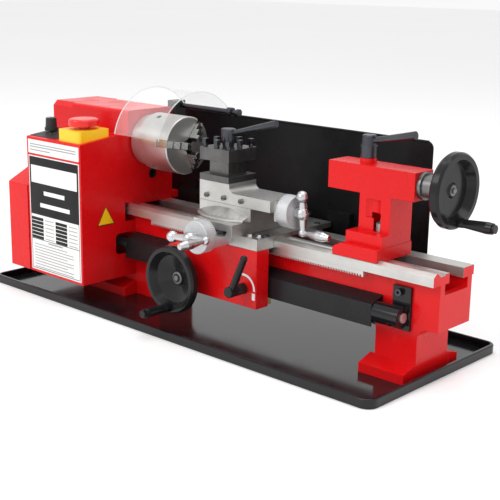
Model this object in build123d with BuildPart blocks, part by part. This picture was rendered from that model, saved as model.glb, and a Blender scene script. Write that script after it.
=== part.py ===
from build123d import *
import math
import os

# Bench-top metal-turning lathe, in millimetres.
# Origin: centre of the four bench-bolt holes, on the underside of the chip tray.
# +X runs along the spindle towards the tailstock, +Y away from the operator, +Z up.

# ---- clearances ----
RUN = 0.05  # radial clearance of a shaft that turns or slides in its bore
GAP = 0.3  # between faces that slide past each other
SEAT = 0.02  # between a fixed piece and the seat cut for it

# ---- spindle line ----
SPINDLE_Z = 224.0
SPINDLE_R = 15.0
SPINDLE_BORE_R = 10.0
BEARING_R = 31.0
BEARING_LEN = 16.0

# ---- chip tray ----
TRAY_X = (-407.0, 293.0)
TRAY_Y = (-134.0, 134.0)
TRAY_RIM = 11.0
TRAY_SHEET = 1.5
TRAY_CORNER = 14.0
TRAY_HEM = 4.0

# ---- bench bolts ----
BOLT_SPAN_X = 492.0
BOLT_SPAN_Y = 76.0
BOLT_R = 3.3
BOLT_DEPTH = 13.0

# ---- bed ----
BED_X = (-330.0, 305.0)
WAY_TOP = 133.0
WAY_HALF = 42.0
WAY_SIDE = 11.5
V_TOP = 136.5
V_Y = -35.2
GROOVE_Z = 131.0
FRONT_WAY_IN = -10.0
BACK_WAY_IN = 20.0
FRONT_WEB = -27.0
BACK_WEB = 39.0
WEB_WALL = 9.0
BEAM_BOTTOM = 65.0
WAY_THICK = 12.0
END_WALL = 9.0
END_WALL_TOP = 108.0
RIB = 8.0
RIB_X = (-110.0, 0.0, 110.0)
RIB_Z = (68.0, 100.0)
LEFT_PILLAR_X = (-330.0, -158.0)
RIGHT_PILLAR_X = (220.0, 278.0)
PILLAR_WEB_R = 14.0
LEFT_FOOT_X = (-287.0, -205.0)
RIGHT_FOOT_X = (214.0, 278.0)
FOOT_OUT = 23.5
FOOT_LIP = 12.0
FOOT_RISE = 7.0
SPOT_FACE_R = 8.0

# ---- headstock ----
HEAD_X = (-330.0, -207.0)
HEAD_Y = (-39.3, 44.7)
HEAD_TOP = 267.4
HEAD_WALL = 16.0
HEAD_FLANGE_Y = 56.5
HEAD_FLANGE_Z = 143.0
HEAD_ROUND = 5.0
PLUG_R = 7.0
PLUG_YZ = (5.8, 174.4)
OIL_HOLE_YZ = (-27.0, 205.8)
OIL_HOLE_R = 1.8

# ---- gear cover ----
COVER_LEFT = -375.0
COVER_WALL = 2.5
COVER_TOP = 267.4
COVER_SCREWS = ((-31.0, 256.0), (38.0, 258.0), (17.0, 45.0))
COVER_SCREW_R = 2.9

# ---- control box ----
BOX_FRONT = -123.5
BOX_Z = (31.4, 227.5)
BOX_WALL = 2.0
BOX_RISE = 7.0
BOX_SLOPE = 62.0
BOX_X = (-327.0, -207.0)
BOX_OPENING_Y = -64.0

# ---- controls on the box's roof ----
SWITCH_X = (-260.0, -213.0)
SWITCH_Y = (-120.0, -66.0)
SWITCH_MID = ((SWITCH_X[0] + SWITCH_X[1]) / 2, (SWITCH_Y[0] + SWITCH_Y[1]) / 2)
SWITCH_BASE = 10.0
CAP_RADII = (19.0, 22.0)
CAP_THICK = 10.0
CAP_STEM_R = 8.0
CAP_TRAVEL = 4.0
KNOB_XY = (-314.0, -90.0)
KNOB_R = 9.5
KNOB_TALL = 18.0
KNOB_SHAFT_R = 3.0

# ---- drive train ----
LEADSCREW_YZ = (-38.0, 76.5)
LEADSCREW_R = 8.0
LEADSCREW_END_R = 6.0
LEADSCREW_X = (-300.0, 266.0)
GEAR_MODULE = 1.0
GEAR_WIDTH = 8.0
SPINDLE_TEETH = 40
TUMBLER_TEETH = 52
STUD_TEETH = 64
STUD_PINION_TEETH = 20
SCREW_TEETH = 80
TUMBLER_LEAN = 0.04  # how far the tumbler sits off the line of centres, in radians
TRAIN_X = -345.0
TRAIN_GAP = 2.0
MOTOR_YZ = (84.0, 68.0)
MOTOR_R = 37.0
MOTOR_X = (-324.0, -266.0)
MOTOR_SHAFT_R = 5.0
MOTOR_PULLEY_R = 12.0
SPINDLE_PULLEY_R = 30.0
PULLEY_X = -371.0
BELT_WIDTH = 10.0
BELT_THICK = 3.0

# ---- chuck ----
CHUCK_R = 40.0
CHUCK_X = (-188.0, -128.5)
JAW_W = 9.6
JAW_ANGLES = (172.0, 52.0, 292.0)
JAW_TIP_R = 8.0
JAW_END_R = 38.5
JAW_DEPTH = 20.0
JAW_STEPS = ((16.0, 17.0), (25.0, 11.0), (33.0, 5.0))
SCROLL_R = 33.0
SCROLL_THICK = 9.0
NOSE_R = 36.0
NOSE_X = -201.0

# ---- chuck guard ----
GUARD_R = 76.0
GUARD_SHEET = 2.0
GUARD_X = (-195.0, -107.0)
GUARD_END_DEG = 168.0
GUARD_ROD_YZ = (57.5, 268.5)
GUARD_ROD_R = 3.5
GUARD_ROD_X = (-214.0, -88.0)

# ---- splash guard ----
SPLASH_X = (-257.0, 213.0)
SPLASH_Y = 84.0
SPLASH_Z = (111.0, 260.5)
SPLASH_SHEET = 1.2
SPLASH_CORNER = 9.0
SPLASH_SCREW_X = (-150.0, 30.0, 190.0)
STAY_X = (61.0, 98.0)
STAY_TOP = 152.0

# ---- rack ----
RACK_X = (-157.0, 209.0)
RACK_MODULE = 1.25
RACK_Y = (-42.0, -33.0)
RACK_Z = (114.5, 121.5)

# ---- leadscrew brackets and hood ----
BRACKET_X = (244.5, 269.0)
BRACKET_Z = (59.5, 111.0)
BRACKET_PLATE = 4.0
BRACKET_SCREW_Z = (104.0, 65.5)
BRACKET_SCREW_X = 254.0
LEFT_BRACKET_X = (-322.0, -302.0)
BOSS_R = 13.0
BOSS_X = (229.0, 264.0)
HOOD_X = (-204.0, 228.0)
HOOD_RIDGE_Y = LEADSCREW_YZ[0] - LEADSCREW_R - 3.0
HOOD_SHEET = 1.5
HOOD_Z = (60.0, 87.0, 94.0)

# ---- carriage ----
SADDLE_X = (-40.0, 70.0)
SADDLE_Y = (-73.0, 72.0)
SADDLE_TOP = 139.0
SADDLE_APRON_Z = 124.0
APRON_X = (-40.0, 71.0)
APRON_Y = (-74.0, -52.0)
APRON_BOTTOM = 50.0
APRON_WALL = 5.0
APRON_WING_X = -90.0
APRON_WING_Z = (53.0, 108.0)
CARRIAGE_WHEEL_XZ = (-54.0, 68.4)
CARRIAGE_WHEEL_R = 44.5
CARRIAGE_RIM_Y = (-106.0, -93.0)
WHEEL_SHAFT_R = 6.0
HAND_PINION_TEETH = 14
IDLER_TEETH = 36
RACK_GEAR_TEETH = 28
RACK_PINION_TEETH = 13
RACK_PINION_X = -15.0
HALF_NUT_LEVER_XZ = (49.5, 73.3)
HALF_NUT_LIFT = 5.6
HALF_NUT_X = (24.0, 56.0)

# ---- cross-slide ----
CROSS_X = 11.0
CROSS_W = 67.0
CROSS_Y = (-91.0, 30.0)
CROSS_Z = (139.3, 155.3)
CROSS_SCREW_Z = 139.6
CROSS_DIAL_R = 21.0
CROSS_DIAL_Y = (-121.0, -103.5)
CROSS_BOSS_R = 18.0
CROSS_THREAD_Y = (-29.0, 66.0)
THREAD_LEN = CROSS_THREAD_Y[1] - CROSS_THREAD_Y[0]
CRANK_ARM = 9.0
CRANK_HUB = 14.0
CRANK_BORE_R = 4.0
FEED_SCREW_R = 4.0
FEED_NECK_R = 2.5
CROSS_DOVETAIL = 25.0
CROSS_DOVE_H = 7.0
CROSS_CHANNEL = 6.0
CROSS_NUT_Y = (-10.0, 14.0)

# ---- compound ----
PIVOT = (5.0, -15.0)
SWIVEL_Z = (155.6, 172.2)
SWIVEL_X = (-41.0, 48.0)
TOP_X = (-41.0, 80.0)
TOP_Y = (-62.0, -12.0)
TOP_MID_Y = (TOP_Y[0] + TOP_Y[1]) / 2
TOP_DOVETAIL = 14.0
TOP_DOVE_H = 6.0
TOP_NUT_X = (-8.0, 14.0)
SCALE_R = 69.0
TOP_LOW_Z = 187.0
TOP_HIGH_Z = 198.0
TOP_STEP_X = 11.0
TOP_STEP_R = 8.0
TOP_SCREW_Z = 173.0
TOP_DIAL_R = 20.5
TOP_DIAL_X = (84.5, 102.0)

# ---- tool post ----
POST_XY = (-15.0, -37.0)
POST_W = 51.0
POST_BASE = 8.0
POST_NECK = 33.0
POST_SLOT = 18.0
POST_HEAD = 16.0
POST_STUD_R = 6.0
POST_SCREW_R = 3.0
POST_SCREW_AT = 20.5

# ---- tailstock ----
QUILL_R = 13.0
QUILL_LEN = 104.0
QUILL_SCREW_R = 5.0
TAPER_LEN = 64.0
TAPER_R = (8.9, 7.2)
TAIL_CAP = 30.0
BARREL_X = (133.7, 257.4)
BARREL_HALF = 18.0
BARREL_Z = (207.2, 240.4)
COLUMN_X = (181.5, 226.0)
COLUMN_Y = (-18.0, 26.0)
TIER_X = 173.0
TIER_Y = -31.0
TIER_Z = (149.0, 163.0)
TAIL_BASE_X = (161.5, 226.5)
TAIL_BASE_Y = (-41.0, 28.0)
TAIL_WHEEL_R = 43.6
TAIL_WHEEL_X = (291.5, 304.5)
TAIL_SCREW_X = 186.0
TAIL_HANDLE_Y = 3.0
TAIL_HANDLE_Z = SPINDLE_Z - 35.5
LOCK_XY = (178.5, 0.0)
LOCK_CLEAR = 0.2  # from the loosened lock to the quill
CLAMP_Z = (110.5, 120.7)
CLAMP_XY = (208.0, -5.3)
CLAMP_STUD_R = 4.0


# ---------------------------------------------------------------- helpers
def block(x, y, z, mode=Mode.ADD):
    """A box between pairs of coordinates, in the part being built."""
    middle = ((x[0] + x[1]) / 2, (y[0] + y[1]) / 2, (z[0] + z[1]) / 2)
    with Locations(middle):
        Box(x[1] - x[0], y[1] - y[0], z[1] - z[0], mode=mode)


def rod(start, direction, length, radius, mode=Mode.ADD):
    """A cylinder from a start point along a direction."""
    with Locations(Plane(origin=start, z_dir=direction)):
        Cylinder(radius, length, align=(Align.CENTER, Align.CENTER, Align.MIN), mode=mode)


def taper(start, direction, length, r_start, r_end, mode=Mode.ADD):
    """A cone frustum from a start point along a direction."""
    with Locations(Plane(origin=start, z_dir=direction)):
        Cone(r_start, r_end, length, align=(Align.CENTER, Align.CENTER, Align.MIN), mode=mode)


def ball(centre, radius):
    with Locations(centre):
        Sphere(radius)


def along_x(points, x, mode=Mode.ADD):
    """Extrudes an outline of (y, z) points between two x values."""
    with BuildSketch(Plane.YZ.offset(x[0])) as outline:
        Polygon(*points, align=None)
    extrude(outline.sketch, amount=x[1] - x[0], mode=mode)


def along_y(points, y, mode=Mode.ADD):
    """Extrudes an outline of (x, z) points between two y values."""
    with BuildSketch(Plane.XZ.offset(-y[1])) as outline:
        Polygon(*points, align=None)
    extrude(outline.sketch, amount=y[1] - y[0], mode=mode)


def spun(profile, origin, direction):
    """Revolves an outline of (radius, distance) points about a line through origin."""
    along = Vector(*direction)
    side = Vector(0, 0, 1) if abs(along.Z) < 0.5 else Vector(1, 0, 0)
    normal = side.cross(along)
    plane = Plane(origin=origin, x_dir=along.cross(normal), z_dir=normal)
    with BuildSketch(plane) as outline:
        Polygon(*profile, align=None)
    revolve(outline.sketch, axis=Axis(origin, direction))


def save(part, name):
    part.part.label = name
    export_step(part.part, f"parts/{name}.step")


def way_outline(gap):
    """Outline of the bed's two ways in (y, z), grown by gap; the front way carries the V."""
    side = WAY_HALF + gap
    return [
        (-side, WAY_TOP - WAY_SIDE),
        (-side, WAY_TOP - 0.5 + gap),
        (V_Y - 1.0 - gap / 2, V_TOP + gap),
        (V_Y + 1.0 + gap / 2, V_TOP + gap),
        (-27.0 + gap, GROOVE_Z + gap),
        (-20.0, GROOVE_Z + gap),
        (-16.5, WAY_TOP + gap),
        (side, WAY_TOP + gap),
        (side, WAY_TOP - WAY_SIDE),
    ]


def gear_outline(teeth, module, angle):
    """Straight-flanked gear teeth as points about (0, 0); one tooth is centred on angle."""
    pitch_r = module * teeth / 2
    step = 2 * math.pi / teeth
    points = []
    for k in range(teeth):
        middle = angle + k * step
        for radius, share in (
            (pitch_r - 1.15 * module, -0.285),
            (pitch_r + 0.75 * module, -0.10),
            (pitch_r + 0.75 * module, 0.10),
            (pitch_r - 1.15 * module, 0.285),
        ):
            turn = middle + share * step
            points.append((radius * math.cos(turn), radius * math.sin(turn)))
    return points


def mesh_angle(teeth, angle, other_teeth, towards):
    """Angle of a tooth on the second gear of a pair, so that it meshes with the first."""
    share = (towards - angle) / (2 * math.pi / teeth)
    return towards + math.pi - (0.5 - share) * (2 * math.pi / other_teeth)


def third_corner(a, b, from_a, from_b):
    """The point at one distance from a and another from b, on the left of the line a to b."""
    dx, dy = b[0] - a[0], b[1] - a[1]
    span = math.hypot(dx, dy)
    run = (from_a**2 - from_b**2 + span**2) / (2 * span)
    rise = math.sqrt(from_a**2 - run**2)
    return (a[0] + (dx * run - dy * rise) / span, a[1] + (dy * run + dx * rise) / span)


def spur_x(teeth, centre, angle, x, bore, module=GEAR_MODULE):
    """A spur gear on an axis along X, with its centre at (y, z)."""
    points = [(centre[0] + u, centre[1] + v) for u, v in gear_outline(teeth, module, angle)]
    along_x(points, x)
    rod((x[0] - 1, *centre), (1, 0, 0), x[1] - x[0] + 2, bore, Mode.SUBTRACT)


def spur_y(teeth, centre, angle, y, bore, module=GEAR_MODULE):
    """A spur gear on an axis along Y, with its centre at (x, z)."""
    points = [(centre[0] + u, centre[1] + v) for u, v in gear_outline(teeth, module, angle)]
    along_y(points, y)
    rod((centre[0], y[0] - 1, centre[1]), (0, 1, 0), y[1] - y[0] + 2, bore, Mode.SUBTRACT)


# ---------------------------------------------------------------- base
def make_tray():
    length, depth = TRAY_X[1] - TRAY_X[0], TRAY_Y[1] - TRAY_Y[0]
    centre = ((TRAY_X[0] + TRAY_X[1]) / 2, (TRAY_Y[0] + TRAY_Y[1]) / 2)
    floor = Plane.XY.offset(TRAY_SHEET)
    top = Plane.XY.offset(TRAY_RIM - TRAY_HEM)
    with BuildPart() as chip_tray:
        with BuildSketch() as outer:
            with Locations(centre):
                RectangleRounded(length, depth, TRAY_CORNER)
        extrude(amount=TRAY_RIM)
        with BuildSketch(floor):
            with Locations(centre):
                RectangleRounded(length - 2 * TRAY_HEM, depth - 2 * TRAY_HEM, TRAY_CORNER - TRAY_HEM)
        extrude(amount=TRAY_RIM, mode=Mode.SUBTRACT)
        with BuildSketch(floor):
            with Locations(centre):
                RectangleRounded(
                    length - 2 * TRAY_SHEET, depth - 2 * TRAY_SHEET, TRAY_CORNER - TRAY_SHEET
                )
        extrude(amount=TRAY_RIM - TRAY_HEM - TRAY_SHEET, mode=Mode.SUBTRACT)
        with Locations((0, 0, 0)):
            with GridLocations(BOLT_SPAN_X, BOLT_SPAN_Y, 2, 2):
                Cylinder(BOLT_R, 4 * TRAY_SHEET, mode=Mode.SUBTRACT)
        fillet(chip_tray.faces().sort_by(Axis.Z)[-1].outer_wire().edges(), TRAY_HEM * 0.45)
    save(chip_tray, "chip_tray")


def foot(x, front):
    """A foot flange along the front or the back of the bed."""
    web = FRONT_WEB if front else BACK_WEB
    out = -1 if front else 1
    points = [
        (web, TRAY_SHEET),
        (web + out * FOOT_OUT, TRAY_SHEET),
        (web + out * FOOT_OUT, TRAY_SHEET + FOOT_LIP),
        (web, TRAY_SHEET + FOOT_LIP + FOOT_RISE),
    ]
    along_x(points, x)


def make_bed():
    inner_y = (FRONT_WEB + WEB_WALL, BACK_WEB - WEB_WALL)
    with BuildPart() as bed:
        along_x(
            [(FRONT_WEB, BEAM_BOTTOM), (FRONT_WEB, WAY_TOP - WAY_SIDE)]
            + way_outline(0)
            + [(BACK_WEB, WAY_TOP - WAY_SIDE), (BACK_WEB, BEAM_BOTTOM)],
            BED_X,
        )
        for pillar in (LEFT_PILLAR_X, RIGHT_PILLAR_X):
            block(pillar, (FRONT_WEB, BACK_WEB), (TRAY_SHEET, BEAM_BOTTOM + 1))
        for foot_x in (LEFT_FOOT_X, RIGHT_FOOT_X):
            foot(foot_x, True)
            foot(foot_x, False)
            block(foot_x, (FRONT_WEB, BACK_WEB), (TRAY_SHEET, TRAY_SHEET + FOOT_LIP))
        for corner_x, side in (
            (LEFT_PILLAR_X[1], 1),
            (RIGHT_PILLAR_X[0], -1),
            (RIGHT_PILLAR_X[1], 1),
        ):
            web_x = sorted((corner_x, corner_x + side * PILLAR_WEB_R))
            block(web_x, (FRONT_WEB, BACK_WEB), (BEAM_BOTTOM - PILLAR_WEB_R, BEAM_BOTTOM + 1))
            rod(
                (corner_x + side * PILLAR_WEB_R, FRONT_WEB - 1, BEAM_BOTTOM - PILLAR_WEB_R),
                (0, 1, 0),
                BACK_WEB - FRONT_WEB + 2,
                PILLAR_WEB_R,
                Mode.SUBTRACT,
            )
        # the hollow between the walls, open above between the ways and below the beam
        hollow_x = (BED_X[0] + END_WALL, BED_X[1] - END_WALL)
        under_way = WAY_TOP - WAY_THICK
        block(hollow_x, inner_y, (BEAM_BOTTOM - 1, under_way), Mode.SUBTRACT)
        block(hollow_x, (FRONT_WAY_IN, BACK_WAY_IN), (under_way - 1, V_TOP + 1), Mode.SUBTRACT)
        end_notch = (BED_X[1] - END_WALL - 1, BED_X[1] + 1)
        block(end_notch, inner_y, (END_WALL_TOP, under_way), Mode.SUBTRACT)
        block(end_notch, (FRONT_WAY_IN, BACK_WAY_IN), (under_way - 1, V_TOP + 1), Mode.SUBTRACT)
        for pillar in (LEFT_PILLAR_X, RIGHT_PILLAR_X):
            inside = (pillar[0] + END_WALL, pillar[1] - END_WALL)
            block(inside, inner_y, (TRAY_SHEET - 1, BEAM_BOTTOM + 1), Mode.SUBTRACT)
        for rib_x in RIB_X:
            block((rib_x, rib_x + RIB), (inner_y[0] - 1, inner_y[1] + 1), RIB_Z)
        with Locations((0, 0, TRAY_SHEET + BOLT_DEPTH / 2 - 0.5)):
            with GridLocations(BOLT_SPAN_X, BOLT_SPAN_Y, 2, 2):
                Cylinder(BOLT_R, BOLT_DEPTH + 1, mode=Mode.SUBTRACT)
        # spot face over the left foot's front bolt
        rod(
            (-BOLT_SPAN_X / 2, -BOLT_SPAN_Y / 2, TRAY_SHEET + BOLT_DEPTH - 1.5),
            (0, 0, 1),
            2 * FOOT_RISE,
            SPOT_FACE_R,
            Mode.SUBTRACT,
        )
    save(bed, "bed")


# ---------------------------------------------------------------- headstock and covers
def make_headstock():
    chamber_x = (HEAD_X[0] + HEAD_WALL + 2, HEAD_X[1] - HEAD_WALL - 2)
    with BuildPart() as headstock:
        block(HEAD_X, HEAD_Y, (WAY_TOP - 2, HEAD_TOP))
        block(HEAD_X, (HEAD_Y[1] - 1, HEAD_FLANGE_Y), (WAY_TOP + SEAT, HEAD_FLANGE_Z))
        top_edges = headstock.faces().sort_by(Axis.Z)[-1].edges()
        fillet(top_edges.filter_by(Axis.X), HEAD_ROUND)
        along_x(way_outline(SEAT), (HEAD_X[0] - 1, HEAD_X[1] + 1), Mode.SUBTRACT)
        block(chamber_x, (HEAD_Y[0] + 11, HEAD_Y[1] - 11), (WAY_TOP - 4, HEAD_TOP - 12), Mode.SUBTRACT)
        rod((HEAD_X[0] - 1, 0, SPINDLE_Z), (1, 0, 0), 200, SPINDLE_R + 4, Mode.SUBTRACT)
        for seat_x in (HEAD_X[0] - 1, HEAD_X[1] - BEARING_LEN):
            rod((seat_x, 0, SPINDLE_Z), (1, 0, 0), BEARING_LEN + 1, BEARING_R, Mode.SUBTRACT)
        # a socket for a plug and a small oil hole, both in the right-hand face
        rod((HEAD_X[1] - 8, *PLUG_YZ), (1, 0, 0), 10, PLUG_R, Mode.SUBTRACT)
        rod((HEAD_X[1] - 8, *OIL_HOLE_YZ), (1, 0, 0), 10, OIL_HOLE_R, Mode.SUBTRACT)
    save(headstock, "headstock")

    with BuildPart() as bearings:
        for start in (HEAD_X[0], HEAD_X[1] - BEARING_LEN):
            rod((start, 0, SPINDLE_Z), (1, 0, 0), BEARING_LEN, BEARING_R - SEAT)
            rod((start - 1, 0, SPINDLE_Z), (1, 0, 0), BEARING_LEN + 2, SPINDLE_R + RUN, Mode.SUBTRACT)
    save(bearings, "spindle_bearings")


def cover_outline(inset):
    """The gear cover's outline in (y, z), moved inwards by inset."""
    front, back = BOX_FRONT + inset, MOTOR_YZ[0] + 27 - inset
    low, top = BOX_Z[0] + inset, COVER_TOP - inset
    return [
        (front, low),
        (front, 156.0 - inset * 0.6),
        (HEAD_Y[0] + inset, 198.0 - inset * 0.6),
        (HEAD_Y[0] + inset, top - 7),
        (HEAD_Y[0] + inset + 7, top),
        (HEAD_Y[1] - inset, top),
        (HEAD_Y[1] - inset, 228.0 - inset * 0.6),
        (back, 112.0 - inset * 0.6),
        (back, low),
    ]


def make_gear_cover():
    cover_right = HEAD_X[0] - SEAT
    with BuildPart() as gear_cover:
        along_x(cover_outline(0), (COVER_LEFT, cover_right))
        along_x(cover_outline(COVER_WALL), (COVER_LEFT + COVER_WALL, cover_right + 1), Mode.SUBTRACT)
        for y, z in COVER_SCREWS:
            rod((COVER_LEFT - 1, y, z), (1, 0, 0), COVER_WALL + 2, COVER_SCREW_R + SEAT, Mode.SUBTRACT)
        rod((COVER_LEFT - 1, 0, SPINDLE_Z), (1, 0, 0), COVER_WALL + 2, SPINDLE_R + 1, Mode.SUBTRACT)
    save(gear_cover, "gear_cover")


def cap_screw(head_at, direction_in, shank, shank_r, head_r, head_len):
    """A socket-head screw: its head sits outside head_at, its shank goes in along direction_in."""
    start, along = Vector(*head_at), Vector(*direction_in)
    rod(tuple(start), tuple(along), shank, shank_r)
    rod(tuple(start - along * head_len), tuple(along), head_len, head_r)
    with BuildSketch(Plane(origin=start - along * head_len, z_dir=along)) as socket:
        RegularPolygon(head_r * 0.5, 6)
    extrude(socket.sketch, amount=head_len * 0.6, mode=Mode.SUBTRACT)


def make_cap_screws():
    with BuildPart() as screws:
        for y, z in COVER_SCREWS:
            cap_screw((COVER_LEFT, y, z), (1, 0, 0), HEAD_X[0] - COVER_LEFT, COVER_SCREW_R, 5, 4)
        for z in BRACKET_SCREW_Z:
            front = (BRACKET_SCREW_X, FRONT_WEB - BRACKET_PLATE, z)
            cap_screw(front, (0, 1, 0), BRACKET_PLATE, 2.5, 4.3, 4.5)
        for x in SPLASH_SCREW_X:
            back = (x, BACK_WEB + SPLASH_SHEET, SPLASH_Z[0] - 8)
            cap_screw(back, (0, -1, 0), SPLASH_SHEET, 2.5, 4.3, 4.5)
    save(screws, "cap_screws")


def box_roof(inset):
    """Side outline of the control box in (y, z): its roof rises towards the headstock."""
    back = HEAD_Y[0] - SEAT
    return [
        (BOX_FRONT + inset, BOX_Z[0] + inset),
        (BOX_FRONT + inset, BOX_Z[1] - inset),
        (BOX_FRONT + BOX_SLOPE, BOX_Z[1] + BOX_RISE - inset),
        (back + inset, BOX_Z[1] + BOX_RISE - inset),
        (back + inset, WAY_TOP + 4),
        (FRONT_WEB - SEAT + inset, WAY_TOP + 4),
        (FRONT_WEB - SEAT + inset, BOX_Z[0] + inset),
    ]


def make_control_box():
    inside_x = (BOX_X[0] + BOX_WALL, BOX_X[1] - BOX_WALL)
    wall_x = (BOX_X[0] - 1, BOX_X[1] + 1)
    with BuildPart() as control_box:
        along_x(box_roof(0), BOX_X)
        along_x(box_roof(BOX_WALL), inside_x, Mode.SUBTRACT)
        # openings for the leadscrew, and for the front way with the rack's end
        with BuildSketch(Plane.YZ.offset(wall_x[0])) as screw_opening:
            with Locations(((BOX_OPENING_Y + FRONT_WEB) / 2, 80.0)):
                RectangleRounded(FRONT_WEB - BOX_OPENING_Y, 30.0, 7.0)
        extrude(screw_opening.sketch, amount=wall_x[1] - wall_x[0], mode=Mode.SUBTRACT)
        block(wall_x, (-46.0, FRONT_WEB + 1), (WAY_TOP - WAY_SIDE - 10, WAY_TOP + 5), Mode.SUBTRACT)
        rod((*KNOB_XY, BOX_Z[1] - 9), (0, 0, 1), 20, KNOB_SHAFT_R + RUN, Mode.SUBTRACT)
        rod(
            (SWITCH_MID[0], SWITCH_MID[1], BOX_Z[1] - 9),
            (0, 0, 1),
            20,
            CAP_STEM_R + GAP,
            Mode.SUBTRACT,
        )
    save(control_box, "control_box")


def roof_z(y):
    """Height of the control box's roof at a depth."""
    return BOX_Z[1] + BOX_RISE * min(1.0, (y - BOX_FRONT) / BOX_SLOPE)


def make_controls():
    base_z = BOX_Z[1] + BOX_RISE + SWITCH_BASE
    with BuildPart() as switch_base:
        block(SWITCH_X, SWITCH_Y, (BOX_Z[1], base_z))
        fillet(switch_base.edges().filter_by(Axis.Z), 5)
        along_x(box_roof(0), (SWITCH_X[0] - 1, SWITCH_X[1] + 1), Mode.SUBTRACT)
        rod((*SWITCH_MID, BOX_Z[1] - 1), (0, 0, 1), 40, CAP_STEM_R + RUN, Mode.SUBTRACT)
    save(switch_base, "switch_base")

    cap_z = base_z + CAP_TRAVEL + GAP
    with BuildPart() as stop_button:
        rod((*SWITCH_MID, BOX_Z[1] - 6), (0, 0, 1), cap_z - BOX_Z[1] + 7, CAP_STEM_R)
        with BuildSketch(Plane.XY.offset(cap_z)) as cap:
            with Locations(SWITCH_MID):
                Ellipse(*CAP_RADII)
        extrude(cap.sketch, amount=CAP_THICK)
        fillet(stop_button.faces().sort_by(Axis.Z)[-1].edges(), 4)
    save(stop_button, "stop_button")

    knob_z = roof_z(KNOB_XY[1]) + 2.6
    with BuildPart() as knob:
        rod((*KNOB_XY, knob_z - 9), (0, 0, 1), 10, KNOB_SHAFT_R)
        rod((*KNOB_XY, knob_z), (0, 0, 1), 4, KNOB_R)
        taper((*KNOB_XY, knob_z + 4), (0, 0, 1), KNOB_TALL - 4, KNOB_R - 1.2, KNOB_R - 2)
        fillet(knob.faces().sort_by(Axis.Z)[-1].edges(), 1)
    save(knob, "speed_knob")


# ---------------------------------------------------------------- drive
def train_centres():
    """Centres, in (y, z), of the change gears from spindle to leadscrew, with meshing angles."""
    half = GEAR_MODULE / 2
    spindle = (0.0, SPINDLE_Z)
    low_reach = half * (STUD_PINION_TEETH + SCREW_TEETH)
    stud_reach = half * (TUMBLER_TEETH + STUD_TEETH)
    tumbler_reach = half * (SPINDLE_TEETH + TUMBLER_TEETH)
    heading = math.atan2(LEADSCREW_YZ[1] - SPINDLE_Z, LEADSCREW_YZ[0]) - TUMBLER_LEAN
    tumbler = (
        spindle[0] + tumbler_reach * math.cos(heading),
        spindle[1] + tumbler_reach * math.sin(heading),
    )
    stud = third_corner(tumbler, LEADSCREW_YZ, stud_reach, low_reach)
    return spindle, tumbler, stud, LEADSCREW_YZ


def direction(a, b):
    return math.atan2(b[1] - a[1], b[0] - a[0])


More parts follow.
